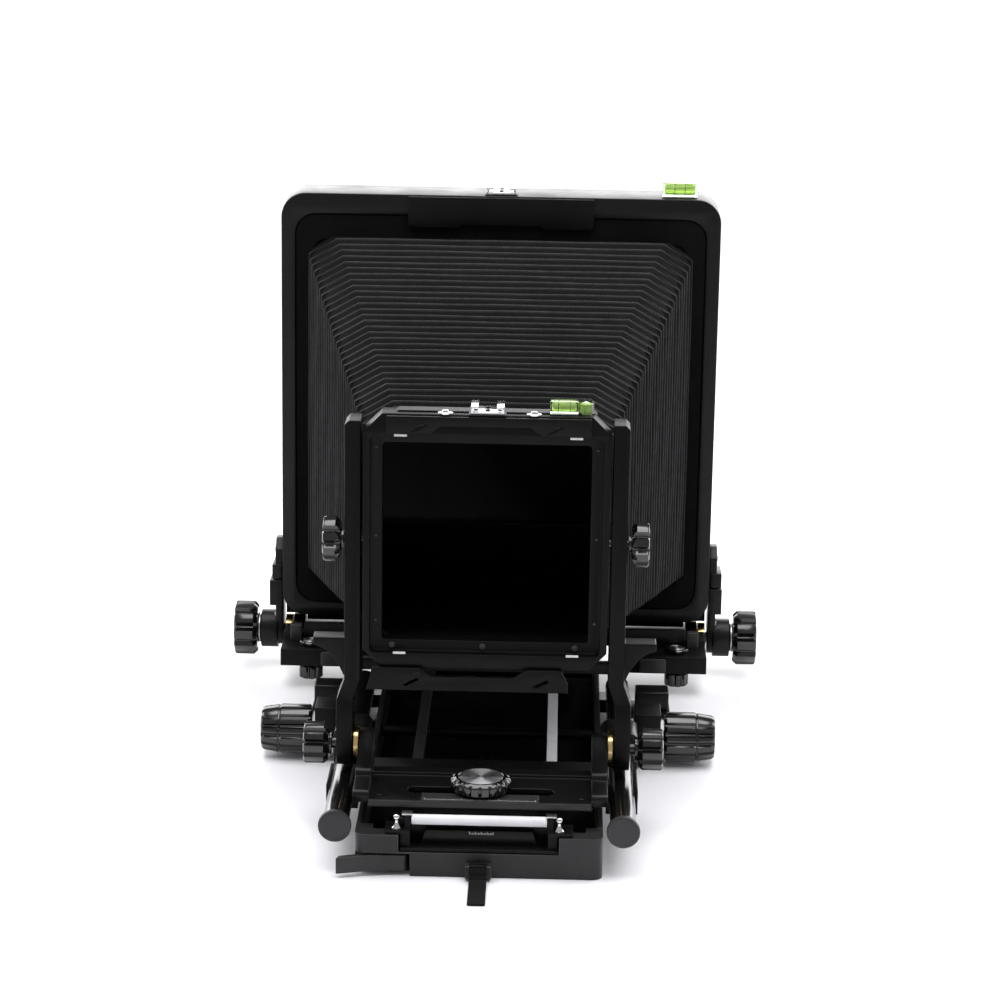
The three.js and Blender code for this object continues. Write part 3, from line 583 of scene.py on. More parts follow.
def fluted_head(shape, origin, axis, radius, start, end, count, depth, width=0.5, rim=1.6 * MM):
    """A fluted knob head from start to end along the axis, with a shouldered back and a dished face."""
    back = [
        (start, radius * 0.55), (start, radius - 3.2 * MM), (start + 0.5 * MM, radius - 2.6 * MM),
        (start + 2.6 * MM, radius - 0.5 * MM), (start + 3.3 * MM, radius),
    ]
    front = [
        (end - rim, radius), (end - rim * 0.4, radius - rim * 0.35), (end - 0.1 * MM, radius - rim),
        (end, radius - rim - 0.5 * MM), (end, radius * 0.6), (end - 0.7 * MM, radius * 0.56),
        (end - 0.7 * MM, 0.0),
    ]
    profile = back + front

    def fluted(i, angle, r):
        if r < radius * 0.75:
            return r
        return r - depth * flute(angle, count, width) * min(1.0, (r - radius * 0.75) / (radius * 0.2))

    shape.turned(profile, origin, axis, count * 16, fluted)


def hand_knob(node, axis, radius, reach, count, depth, neck_radius, bolt):
    """A clamp knob on a side bolt: turned neck and fluted head."""
    low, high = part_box(node)
    sign = 1 if axis.x > 0 else -1
    mid = (low + high) / 2
    inner, outer = reach
    origin = Vector((sign * inner, mid.y, mid.z))
    shape = Shape()
    depth_inside = bolt[0]
    shape.turned([(-depth_inside, 0), (-depth_inside, bolt[1]), (2.6 * MM, bolt[1])], origin, axis, 32)
    neck = [
        (0, bolt[1]), (0, neck_radius - 0.4 * MM), (0.4 * MM, neck_radius), (1.6 * MM, neck_radius),
        (2.0 * MM, neck_radius - 0.8 * MM), (2.9 * MM, neck_radius - 0.8 * MM),
    ]
    shape.turned(neck, origin, axis, 64)
    fluted_head(shape, origin, axis, radius, 2.4 * MM, outer - inner, count, depth)
    shape.piece(node + "_fine", KNOB, BODY_OF[node], (node,))


def side_knobs():
    for side, sign in SIDES.items():
        out = X * sign
        for node, radius, start, end, count, depth, neck, bolt in (
            ("base_tilt_knob_", 14.6, 105.2, 125.0, 10, 2.5, 8.5, (28, 4)),
            ("rise_knob_", 15.5, 97.2, 111.5, 9, 2.6, 6.0, (21, 3)),
            ("rear_tilt_knob_", 21.8, 189.9, 211.0, 10, 3.4, 10.5, (39, 4)),
        ):
            reach = (start * MM, end * MM)
            screw = (bolt[0] * MM, bolt[1] * MM)
            hand_knob(node + side, out, radius * MM, reach, count, depth * MM, neck * MM, screw)
        washers(side, out)


def washers(side, out):
    """Brass friction washers beside the tilt pivots."""
    for name, node, x, radius, bore, thick in (
        ("base_tilt", "base_tilt_knob_" + side, 88.4, 13.2, 4.2, 3.4),
        ("rear_tilt", "rear_tilt_knob_" + side, 166.8, 12.4, 4.2, 5.6),
    ):
        low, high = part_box(node)
        mid = (low + high) / 2
        origin = Vector((out.x * x * MM, mid.y, mid.z))
        half = thick / 2 * MM
        profile = [
            (-half, bore * MM), (-half, (radius - 0.3) * MM), (-half + 0.3 * MM, radius * MM),
            (half - 0.3 * MM, radius * MM), (half, (radius - 0.3) * MM), (half, bore * MM),
        ]
        body = "cross_plate" if name == "base_tilt" else "rear_base"
        Shape().turned(profile, origin, out, 64, closed=True).piece(f"{name}_washer_{side}", BRASS, body)


def shift_knob():
    low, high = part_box("shift_knob")
    origin = Vector(((low.x + high.x) / 2, (low.y + high.y) / 2, low.z))
    shape = Shape()
    radius, height = 20.5 * MM, high.z - low.z
    lobes = 18
    profile = [
        (0, 3.4 * MM), (0, radius - 3 * MM), (1.2 * MM, radius - 1.0 * MM), (2.4 * MM, radius),
        (height - 2.6 * MM, radius), (height - 1.4 * MM, radius - 0.8 * MM),
        (height - 0.5 * MM, radius - 2.4 * MM), (height, radius - 3.2 * MM), (height, 15.6 * MM),
        (height - 0.5 * MM, 15.2 * MM), (height - 0.5 * MM, 0),
    ]

    def fluted(i, angle, r):
        if r < radius - 2.5 * MM:
            return r
        return r - 1.0 * MM * flute(angle, lobes, 0.35) * min(1.0, (r - radius + 2.5 * MM) / (2 * MM))

    shape.turned(profile, origin, Z, lobes * 12, fluted)
    shape.piece("shift_knob_fine", KNOB, "shift_knob", ("shift_knob",))
    disc(Shape(), "shift_knob_disc", origin + Z * (height - 0.45 * MM), 15.0 * MM, "shift_knob")


def disc(shape, name, origin, radius, body, thick=0.35 * MM):
    """A faced metal disc let into a knob; its own origin is its centre so the tool marks run round it."""
    profile = [(0, 0), (0, radius), (thick * 0.7, radius), (thick, radius - 0.25 * MM), (thick, 0)]
    shape.turned(profile, (0, 0, 0), Z, 96)
    mesh = mesh_of(name, shape.vertices, shape.faces)
    piece = finish_mesh(name, mesh, TURNED, None)
    piece.location = origin
    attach(piece, body)
    return piece


def swing_lock_knobs():
    for side in SIDES:
        node = "swing_lock_knob_" + side
        low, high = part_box(node)
        x, y = (low.x + high.x) / 2, (low.y + high.y) / 2
        origin = Vector((x, y, low.z))
        shape = Shape()
        head = 18.7 * MM - low.z
        fluted_head(shape, origin + Z * head, -Z, 9.5 * MM, 0.0, head, 9, 1.3 * MM, rim=1.2 * MM)
        shape.turned([(head - 3 * MM, 3 * MM), (high.z - low.z, 3 * MM)], origin, Z, 32)
        shape.piece(node + "_fine", KNOB, node, (node,))
        cap = Shape()
        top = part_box("rear_base_plate")[0].z + 13.95 * MM
        profile = scaled(
            (0, 2.9), (0, 8.6), (1.0, 9.3), (2.6, 9.3), (3.3, 8.5), (3.3, 6.8), (3.0, 6.6),
            (3.0, 0),
        )
        cap.turned(profile, (x, y, top), Z, 72)
        cap.piece("swing_lock_cap_" + side, KNOB, node)
        disc(Shape(), "swing_lock_disc_" + side, Vector((x, y, top + 3.0 * MM)), 6.3 * MM, node, 0.3 * MM)


# ---- Focus drive ----
PINION_TEETH = 30
PINION_RADIUS = 7.2 * MM
RACK_PITCH = TAU * PINION_RADIUS / PINION_TEETH


def gear_outline(centre_y, centre_z, teeth, radius, tooth):
    points = []
    for k in range(teeth):
        for share, r in ((-0.3, -0.6), (-0.14, 0.35), (0.14, 0.35), (0.3, -0.6)):
            angle = TAU * (k + share) / teeth
            length = radius + r * tooth
            points.append((centre_y + length * math.cos(angle), centre_z + length * math.sin(angle)))
    return points


def focus_drive():
    low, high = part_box("focus_shaft")
    y, z = (low.y + high.y) / 2, (low.z + high.z) / 2
    shape = Shape()
    radius = 4 * MM
    profile = [(low.x, 0), (low.x, radius - 0.4 * MM), (low.x + 0.4 * MM, radius)]
    profile += [(high.x - 0.4 * MM, radius), (high.x, radius - 0.4 * MM), (high.x, 0)]
    shape.turned(profile, (0, y, z), X, 48)
    rack = centre("rack_right").x
    for x in (-rack, rack):
        outline = gear_outline(y, z, PINION_TEETH, PINION_RADIUS - 0.3 * MM, 0.8 * MM)
        shape.prism(outline, "X", x - 4.5 * MM, x + 4.5 * MM, bevel=0)
    shape.piece("focus_shaft_fine", DARK_STEEL, "focus_drive", ("focus_shaft",))
    for side, sign in SIDES.items():
        focus_drum(side, sign)


def focus_drum(side, sign):
    """A ribbed drum: lands and grooves round a straight barrel, then a tapering end third."""
    node = "focus_drum_" + side
    low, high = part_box(node)
    length = high.x - low.x
    origin = Vector((sign * (131 * MM), (low.y + high.y) / 2, (low.z + high.z) / 2))
    radius, ribs = 18.5 * MM, 15
    profile = [
        (0, 5 * MM), (0, radius - 3 * MM), (0.6 * MM, radius - 1.8 * MM), (2.0 * MM, radius),
        (22.4 * MM, radius), (23.4 * MM, radius - 0.4 * MM), (23.8 * MM, radius - 1.0 * MM),
        (24.6 * MM, radius - 1.0 * MM), (25.0 * MM, radius - 0.5 * MM),
        (length - 2.4 * MM, 16.4 * MM), (length - 0.9 * MM, 15.6 * MM), (length, 14.2 * MM),
        (length, 9.6 * MM), (length - 0.8 * MM, 9.0 * MM), (length - 0.8 * MM, 0),
    ]

    def ribbed(i, angle, r):
        if i < 3 or i > 10 or i in (6, 7):
            return r
        return r - 1.9 * MM * flute(angle, ribs, 0.5, 0.8)

    Shape().turned(profile, origin, X * sign, ribs * 16, ribbed).piece(
        node + "_fine", KNOB, "focus_drive", (node,)
    )


# ---- Carriage, tubes, racks, roller ----
def guide_tubes():
    for side in SIDES:
        low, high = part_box("guide_tube_" + side)
        middle = (low + high) / 2
        cap_front, low = low.y, low + Y * 4 * MM
        outer, inner = 8.9 * MM, 7.4 * MM
        origin = Vector((middle.x, 0, middle.z))
        profile = [
            (low.y, inner), (low.y, outer), (high.y - 0.6 * MM, outer), (high.y, outer - 0.5 * MM),
            (high.y, inner + 0.3 * MM), (high.y - 0.3 * MM, inner),
        ]
        tube = Shape().turned(profile, origin, Y, 96, closed=True)
        tube.piece(f"guide_tube_{side}_fine", GLOSS, "front_carriage", ("guide_tube_" + side,))
        radius, front = 11.25 * MM, cap_front
        cap = [
            (front, 0), (front, 8.6 * MM), (front + 0.2 * MM, 8.9 * MM), (front, 9.2 * MM),
            (front, radius - 0.9 * MM), (front + 0.3 * MM, radius - 0.3 * MM),
            (front + 1.0 * MM, radius), (front + 3.6 * MM, radius),
            (front + 4.0 * MM, radius - 0.4 * MM), (front + 4.0 * MM, 7 * MM),
            (front + 10 * MM, 7 * MM), (front + 10 * MM, 0),
        ]
        made = Shape().turned(cap, origin, Y, 96)
        made.piece(f"tube_cap_{side}", DARK_GREY, "front_carriage")


def racks():
    """Toothed bars, teeth down, on the pinions' pitch."""
    for side in SIDES:
        node = "rack_" + side
        low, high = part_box(node)
        teeth = int((high.y - low.y - 4 * MM) / RACK_PITCH)
        start = low.y + 2 * MM
        outline = [(low.y, high.z), (low.y, low.z)]
        for k in range(teeth):
            at_y = start + k * RACK_PITCH
            for share, height in ((0.12, 0.0), (0.38, 0.85), (0.62, 0.85), (0.88, 0.0)):
                outline.append((at_y + share * RACK_PITCH, low.z + height * MM))
        outline += [(high.y, low.z), (high.y, high.z)]
        shape = Shape().prism(outline, "X", low.x, high.x, bevel=0)
        # the right rack in bright steel and the left in dark grey: painted light, the right rack drawn as
        # lit and the left as shaded
        lit_or_shaded_finish = STEEL if side == "right" else DARK_GREY
        shape.piece(node + "_fine", lit_or_shaded_finish, "front_carriage", (node,), angle=20)
        # a pale strip laid on the right rack: painted highlight for the light this rack catches
        if side == "right":
            strip = Shape()
            bottom = (low.x, low.y, high.z + 0.05 * MM)
            strip.block(bottom, (high.x, high.y, high.z + 0.45 * MM), 0.1 * MM, 1)
            strip.piece("rack_highlight_strip", PALE_HIGHLIGHT, "front_carriage")


def roller():
    low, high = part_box("roller")
    middle = (low + high) / 2
    inner, outer = 1.95 * MM, 3.5 * MM
    profile = [
        (low.x, inner), (low.x, outer - 0.4 * MM), (low.x + 0.4 * MM, outer),
        (high.x - 0.4 * MM, outer), (high.x, outer - 0.4 * MM), (high.x, inner),
    ]
    origin = Vector((0, middle.y, middle.z))
    Shape().turned(profile, origin, X, 64, closed=True).piece("roller_fine", WHITE, "roller", ("roller",))


# ---- Levels ----
def levels():
    low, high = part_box("front_level")
    block_low = Vector((42 * MM, low.y, low.z))
    long_level("front_level", block_low, Vector((61 * MM, low.y + 9 * MM, low.z + 9 * MM)), "lens_frame")
    low_rear, high_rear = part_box("rear_level")
    long_level("rear_level", low_rear, high_rear, "rear_frame")
    round_level(Vector((66.2 * MM, (low.y + high.y) / 2, low.z)), 5.4 * MM, 9.6 * MM)


def long_level(node, low, high, body):
    """A clear block on a thin base with a bored vial: fluid, bubble and two index rings."""
    size = high - low
    base = Shape().block(low, Vector((high.x, high.y, low.z + 0.9 * MM)), 0.2 * MM)
    base.piece(node + "_base", CHROME, body)
    clear = Shape().block(low + Z * 1.0 * MM, high, 0.5 * MM, 3)
    clear.piece(node + "_block", ACRYLIC, body, (node,))
    radius = min(size.y, size.z) * 0.36
    middle = (low + high) / 2 + Z * 0.4 * MM
    half = size.x * 0.43
    origin = Vector((middle.x, middle.y, middle.z))
    ends = [(-half, 0), (-half, radius * 0.7), (-half + radius * 0.3, radius)]
    profile = ends + [(-a, r) for a, r in reversed(ends)]
    fluid = Shape().turned(profile, origin, X, 40)
    fluid.piece(node + "_fluid", FLUID, body)
    bubble = Shape().turned(
        [(math.cos(a) * -3.2 * MM, math.sin(a) * radius * 0.34) for a in np.linspace(0, math.pi, 13)],
        origin + Z * radius * 0.72,
        X,
        24,
    )
    bubble.piece(node + "_bubble", WHITE, body)
    rings = Shape()
    for x in (-4.0, 4.0):
        r = radius + 0.08 * MM
        ring = [(-0.22 * MM, r), (-0.22 * MM, r + 0.12 * MM), (0.22 * MM, r + 0.12 * MM), (0.22 * MM, r)]
        rings.turned(ring, origin + X * x * MM, X, 40, closed=True)
    rings.piece(node + "_rings", KNOB, body)


def round_level(foot, radius, height):
    """A bull's-eye level: clear rim, fluid with a domed top, and bubble."""
    rim = [
        (0, radius * 0.8), (0, radius), (height * 0.8, radius), (height * 0.86, radius * 0.96),
        (height * 0.86, radius * 0.82), (0.3 * MM, radius * 0.82),
    ]
    Shape().turned(rim, foot, Z, 64, closed=True).piece("round_level_rim", ACRYLIC, "lens_frame")
    fluid = [(0.4 * MM, 0), (0.4 * MM, radius * 0.78)]
    fluid += [(height * 0.74, radius * 0.78), (height * 0.8, radius * 0.5)]
    fluid.append((height * 0.82, 0))
    Shape().turned(fluid, foot, Z, 48).piece("round_level_fluid", FLUID, "lens_frame")
    bubble = [(height * 0.79, 0), (height * 0.79, radius * 0.3)]
    bubble += [(height * 0.86, radius * 0.22), (height * 0.88, 0)]
    Shape().turned(bubble, foot, Z, 32).piece("round_level_bubble", WHITE, "lens_frame")


# ---- Bellows ----
PLEATS = 34
HALF_PLEATS = 2 * PLEATS
PLEAT_DEPTH = 4.6 * MM
CORNER_WIDE, CORNER_TALL = 17.5 * MM, 11 * MM
BELLOWS_WALL = 1.1 * MM
CROWDING = 0.117  # how much closer the pleats lie at the lens end
RIDGE_ROUND = 0.05
# The chain of bodies from the lens to the film end, with the half pleats of the bellows segment made
# between each pair.
BELLOWS_CHAIN = [
    ("lens_frame", "rise_slide", 4), ("rise_slide", "yoke", 4), ("yoke", "cross_plate", 15),
    ("cross_plate", "swing_block", 4), ("swing_block", "front_carriage", 6),
    ("front_carriage", "bed", 15), ("bed", "rear_base", 7), ("rear_base", "rear_frame", 13),
]
ROW_STEPS = (0.0, 0.05, 0.12, 0.3, 0.5, 0.7, 0.88, 0.95)


class BellowsForm:
    """The pleated tube as rows of points round the lens axis. A phase counts half pleats from the lens end:
    the top and bottom fold outwards at even phases and the sides at odd ones, so the corners zigzag."""

    def __init__(self):
        low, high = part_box("bellows")
        self.front, self.back = low.y, high.y
        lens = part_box("lens_frame")
        self.front_z = (lens[0].z + lens[1].z) / 2 - 3 * MM
        self.back_z = (low.z + high.z) / 2
        self.front_wide, self.front_tall = 80 * MM, 78 * MM
        self.back_wide, self.back_tall = high.x, (high.z - low.z) / 2

    def share(self, phase):
        u = phase / HALF_PLEATS
        return (1 - CROWDING) * u + CROWDING * u * u

    def y_at(self, phase):
        return self.front + (self.back - self.front) * self.share(phase)

    def crease(self, phase):
        """0 at a ridge of the top and bottom and 1 at a valley, straight between slightly rounded folds."""
        step = phase % 2.0
        x = step if step <= 1 else 2 - step

        def eased(t):
            return math.sqrt(t * t + RIDGE_ROUND**2) - RIDGE_ROUND

        return 0.5 * eased(x) / eased(0.5) if x < 0.5 else 1 - 0.5 * eased(1 - x) / eased(0.5)

    def row(self, phase, inset=0.0):
        share = self.share(phase)
        y = self.y_at(phase)
        z = self.front_z + (self.back_z - self.front_z) * share - 1.5 * MM * math.sin(math.pi * share)
        level = self.crease(phase)
        tall = self.front_tall + (self.back_tall - self.front_tall) * share - PLEAT_DEPTH * level - inset
        taper = self.front_wide + (self.back_wide - self.front_wide) * share
        wide = taper - PLEAT_DEPTH * (1 - level) - inset
        # ridge masks; each point keeps one below for the cloth's paler ridge colour, partly wear and partly
        # painted highlight
        ridge_tall = math.exp(-((level / 0.09) ** 2))
        ridge_wide = math.exp(-(((1 - level) / 0.09) ** 2))
        sides = (
            ((1, 0), (0, 1), wide, tall - CORNER_TALL, ridge_wide, level - 0.5),
            ((0, 1), (-1, 0), tall, wide - CORNER_WIDE, ridge_tall, 0.5 - level),
            ((-1, 0), (0, -1), wide, tall - CORNER_TALL, ridge_wide, level - 0.5),
            ((0, -1), (1, 0), tall, wide - CORNER_WIDE, ridge_tall, 0.5 - level),
        )
        across = 12
        points, wear_and_highlight = [], []
        for side, (out, along, reach, straight, ridge, puff) in enumerate(sides):
            for k in range(across + 1):
                s = -1 + 2 * k / across
                slow = math.sin(1.7 * phase + 2.1 * side + 3 * s)
                wander = 0.3 * MM * slow * math.sin(0.9 * phase + 5 * s)
                r = reach + 0.6 * MM * (1 - s * s) * puff + wander
                u = s * straight
                points.append(Vector((out[0] * r + along[0] * u, y, z + out[1] * r + along[1] * u)))
                wear_and_highlight.append(ridge)
        return points, wear_and_highlight


def bellows():
    form = BellowsForm()
    first = 0
    for number, (a, b, halves) in enumerate(BELLOWS_CHAIN, 1):
        bellows_segment(form, number, first, first + halves)
        first += halves
    bellows_cuffs(form)


def bellows_segment(form, number, first, last):
    phases = [half + step for half in range(first, last) for step in ROW_STEPS] + [last]
    vertices, wear_and_highlight = [], []
    for inset in (0.0, BELLOWS_WALL):
        for phase in phases:
            points, ridge = form.row(phase, inset)
            vertices += points
            wear_and_highlight += ridge
    count = len(points)
    shift = len(phases) * count
    end = shift - count
    faces = []
    for k in range(count):
        n = (k + 1) % count
        for low in range(0, end, count):
            high = low + count
            faces.append([low + k, low + n, high + n, high + k])
            faces.append([shift + low + n, shift + low + k, shift + high + k, shift + high + n])
        faces.append([k, shift + k, shift + n, n])
        faces.append([end + n, shift + end + n, shift + end + k, end + k])
    name = f"bellows_{number}"
    mesh = mesh_of(name, vertices, faces)
    # the ridge mask becomes the cloth's paler ridge colour: partly wear, partly painted highlight
    ridge_wear_and_highlight = mesh.attributes.new("ridge_wear_and_highlight", "FLOAT", "POINT")
    ridge_wear_and_highlight.data.foreach_set("value", np.array(wear_and_highlight, np.float32))
    piece = finish_mesh(name, mesh, CLOTH, None, ("bellows",) if number == 1 else (), angle=60)
    start = Vector((0, form.y_at(first), form.front_z))
    Vector((0, form.y_at(last), form.front_z))
    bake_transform(piece)


def bellows_cuffs(form):
    """The flat cloth-covered frames that close the bellows onto the lens frame and the film end."""
    low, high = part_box("rear_frame")
    rim, top_rim, radius = 11.4 * MM, 16.4 * MM, 15 * MM
    outline = rounded(low.x + rim, high.x - rim, low.z + rim, high.z - top_rim, radius, 8)
    inner_x, inner_z = form.back_wide - 5.4 * MM, form.back_tall - 5.4 * MM
    hole = rounded(-inner_x, inner_x, form.back_z - inner_z, form.back_z + inner_z, 9 * MM, 8)
    y0, y1 = low.y + 1.2 * MM, low.y + 3.6 * MM
    plate_with_hole("bellows_rear_panel", outline, hole, y0, y1, CLOTH, "rear_frame")
    low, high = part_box("lens_frame")
    outline = rounded(-82 * MM, 82 * MM, form.front_z - 79.5 * MM, form.front_z + 80 * MM, 6 * MM, 6)
    hole = rounded(-72 * MM, 72 * MM, form.front_z - 71 * MM, form.front_z + 71 * MM, 4 * MM, 6)
    y0, y1 = high.y + 0.05 * MM, high.y + 1.8 * MM
    plate_with_hole("bellows_front_panel", outline, hole, y0, y1, CLOTH, "lens_frame")


# ---- Strap, lever ----
def pull_strap():
    """A doubled web band sewn through the loop: it drops to the ground and runs forward."""
    low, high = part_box("pull_strap")
    half, thick = 5.6 * MM, 1.3 * MM
    y0 = high.y + 3.4 * MM
    path = [
        (y0 + 2.0 * MM, 4.0 * MM), (y0 + 1.6 * MM, 7.6 * MM), (y0 - 0.6 * MM, 10.4 * MM),
        (y0 - 3.4 * MM, 10.6 * MM), (y0 - 5.6 * MM, 8.0 * MM), (y0 - 7.2 * MM, 4.6 * MM),
        (y0 - 10.0 * MM, 2.4 * MM), (y0 - 16.0 * MM, 1.5 * MM), (y0 - 24.0 * MM, 1.2 * MM),
        (y0 - 34.0 * MM, 1.35 * MM), (low.y + 0.4 * MM, 0.95 * MM),
    ]
    curve = smooth_path(path, 6)
    shape = Shape()
    ribbon(shape, curve, half, thick)
    shape.piece("pull_strap_fine", WEB, "pull_strap", ("pull_strap",), angle=60)


def between(a, b, c, d, t):
    """The Catmull-Rom value at share t of the way from b to c."""
    square = (2 * a - 5 * b + 4 * c - d) * t * t
    cube = (3 * b - a - 3 * c + d) * t**3
    return 0.5 * (2 * b + (c - a) * t + square + cube)


def smooth_path(points, steps):
    """Catmull-Rom through the points."""
    made = []
    padded = [points[0], *points, points[-1]]
    for p0, p1, p2, p3 in zip(padded, padded[1:], padded[2:], padded[3:]):
        for k in range(steps):
            t = k / steps
            made.append(tuple(between(*values, t) for values in zip(p0, p1, p2, p3)))
    made.append(points[-1])
    return made


def ribbon(shape, curve, half, thick):
    """A flat band along a curve in the YZ plane, with rounded selvedges."""
    section = []
    for k in range(9):
        angle = math.pi * (k / 8 - 0.5)
        section.append((half + math.cos(angle) * thick * 0.3, math.sin(angle) * thick / 2))
    section += [(-x, -z) for x, z in section]
    vertices, faces = [], []
    for i, (y, z) in enumerate(curve):
        before, after = curve[max(i - 1, 0)], curve[min(i + 1, len(curve) - 1)]
        along = Vector((0, after[0] - before[0], after[1] - before[1])).normalized()
        up = X.cross(along)
        if up.z < 0 and abs(along.z) < 0.7:
            up = -up
        for x, w in section:
            vertices.append(Vector((x, y, z)) + up * w)
    count = len(section)
    for i in range(len(curve) - 1):
        for k in range(count):
            n = (k + 1) % count
            faces.append([i * count + k, i * count + n, (i + 1) * count + n, (i + 1) * count + k])
    faces.append(list(range(count)))
    faces.append([(len(curve) - 1) * count + k for k in reversed(range(count))])
    shape.add(vertices, faces)


def release_lever():
    refined("release_lever", DARK_GREY, 0.8 * MM, 3)


# ---- Ground glass and springs ----
def glass_and_springs():
    refined("ground_glass", GROUND_GLASS, 0.3 * MM, 2)
    for end in ("top", "bottom"):
        refined("back_spring_" + end, SPRING, 0.15 * MM, 1)


# ---- Small fittings ----
def cap_screw(shape, place, axis, radius=1.6 * MM, height=1.0 * MM):
    """A low round head with a recessed socket."""
    profile = [
        (0, radius), (height * 0.6, radius), (height, radius * 0.8), (height, radius * 0.45),
        (height * 0.3, radius * 0.4), (height * 0.3, 0),
    ]
    shape.turned(profile, place, axis, 24)


def lens_frame_fittings():
    low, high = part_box("lens_frame")
    front, top, mid_z = low.y, high.z, (low.z + high.z) / 2 - 2 * MM
    marks = Shape()
    for x in (-58.5, 60.3):
        for z in (mid_z + 77.0 * MM, mid_z - 77.0 * MM):
            at = Vector((x * MM, front, z))
            marks.block(at + mm(-4.3, -0.35, -0.8), at + mm(4.3, 0.4, 0.8), 0.15 * MM, 1)
    marks.piece("index_marks", INK, "lens_frame")

    screws = Shape()
    for x in (-75.2, 75.2):
        for z in (67, 4.5, -56):
            cap_screw(screws, Vector((x * MM, front + 8 * MM, mid_z + z * MM)), -Y, 0.95 * MM, 0.7 * MM)
    for x in (-64, -1.5, 62):
        cap_screw(screws, Vector((x * MM, front + 8 * MM, mid_z - 73.8 * MM)), -Y, 2.2 * MM, 0.8 * MM)
    screws.piece("recess_screws", DARK_GREY, "lens_frame")

    cap = Shape()
    outline = [(-62, 0), (74, 0), (72, 1.1), (-60, 1.1)]
    points = [(x * MM, top + z * MM) for x, z in outline]
    cap.prism(points, "Y", front + 6.5 * MM, high.y - 0.6 * MM, 0.2 * MM, 1)
    cap.piece("lens_frame_top_plate", SATIN, "lens_frame")
    buttons = Shape()
    for x in (-28.5, 31.4):
        profile = scaled((0, 5.2), (0.5, 5.2), (0.9, 4.4), (0.9, 2.6))
        profile += scaled((2.0, 2.2), (2.4, 1.2), (2.45, 0))
        buttons.turned(profile, Vector((x * MM, front + 4.6 * MM, top)), Z, 40)
    buttons.piece("top_buttons", CHROME, "lens_frame")

    upper = Shape()
    lock_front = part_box("board_lock_top")[0].y
    for x, lean in ((-52, 1), (40, 1)):
        slot_line(upper, x, 289.5, lean, lock_front)
    upper.piece("upper_lock_slot_shades", SLOT_SHADE, "lens_frame")
    heads = Shape()
    for x in (-44.5, 47.0):
        cap_screw(heads, Vector((x * MM, lock_front, 294.6 * MM)), -Y, 2.5 * MM, 0.7 * MM)
    heads.piece("upper_lock_screws", MATTE, "lens_frame")
    heads = Shape()
    for x in (-46.0, 43.5):
        cap_screw(heads, Vector((x * MM, lock_front, 117.2 * MM)), -Y, 2.5 * MM, 0.7 * MM)
    heads.piece("lower_lock_screws", MATTE, "board_lock")


def shoe_bases():
    """A dark base under each accessory shoe, with its two fixing screws."""
    for node, body in (("front_shoe", "lens_frame"), ("rear_shoe", "rear_frame")):
        low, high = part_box(node)
        base = Shape()
        corner = Vector((high.x, high.y, low.z))
        base.block(low + mm(-1.4, -1.4, -0.2), corner + mm(1.4, 1.4, 0.7), 0.25 * MM)
        base.piece(node + "_base", SATIN, body)
        middle = (low + high) / 2
        screws = Shape()
        for y in (-5, 5):
            place = Vector((middle.x, middle.y + y * MM, low.z + 2.2 * MM))
            cap_screw(screws, place, Z, 1.7 * MM, 0.6 * MM)
        screws.piece(node + "_screws", MATTE, body)


def slot_line(shape, x, z, lean, front):
    """A short slanting slot drawn as a thin dark inlay: painted shade standing for the slot's hollow."""
    outline = [(x, z - 1.2), (x + 2.2, z - 1.6), (x + 12, z + 3.4 * lean), (x + 10, z + 4.6 * lean)]
    shape.prism([(a * MM, b * MM) for a, b in outline], "Y", front - 0.06 * MM, front + 0.4 * MM, 0)


def cross_plate_fittings():
    low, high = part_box("cross_plate")
    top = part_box("shift_knob")[0].z - 0.6 * MM
    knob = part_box("shift_knob")
    slot_front = (knob[0].y + knob[1].y) / 2 - 6.4 * MM
    strip_front, half = low.y + 3.4 * MM, 39.5 * MM
    strip = Shape()
    strip_end = (half, slot_front - 0.8 * MM, top + 0.35 * MM)
    strip.block((-half, strip_front, top - 0.1 * MM), strip_end, 0.1 * MM, 1)
    strip.piece("shift_scale", DARK_GREY, "cross_plate")
    ticks = Shape()
    for k in range(-30, 31):
        long = 3.4 if k % 10 == 0 else 2.3 if k % 5 == 0 else 1.4
        x = k * 1.25 * MM
        y = strip_front + 1.0 * MM
        ticks.block((x - 0.13 * MM, y, top + 0.3 * MM), (x + 0.13 * MM, y + long * MM, top + 0.42 * MM), 0)
    ticks.piece("shift_scale_ticks", INK, "cross_plate")
    screws = Shape()
    for x in (-68, 68):
        for y in (low.y + 12 * MM, high.y - 30 * MM):
            cap_screw(screws, Vector((x * MM, y, top)), Z, 1.9 * MM, 0.8 * MM)
    screws.piece("cross_plate_screws", MATTE, "cross_plate")
    # the lip takes the lighter satin copy: painted light on its lit front face
    lip = Shape()
    lip_low = (-75 * MM, low.y - 0.3 * MM, top - 3.4 * MM)
    lip.block(lip_low, (75 * MM, low.y + 2.2 * MM, top + 0.8 * MM), 0.5 * MM)
    lip.piece("cross_plate_lip", SATIN_PAINTED_LIGHTER, "cross_plate")


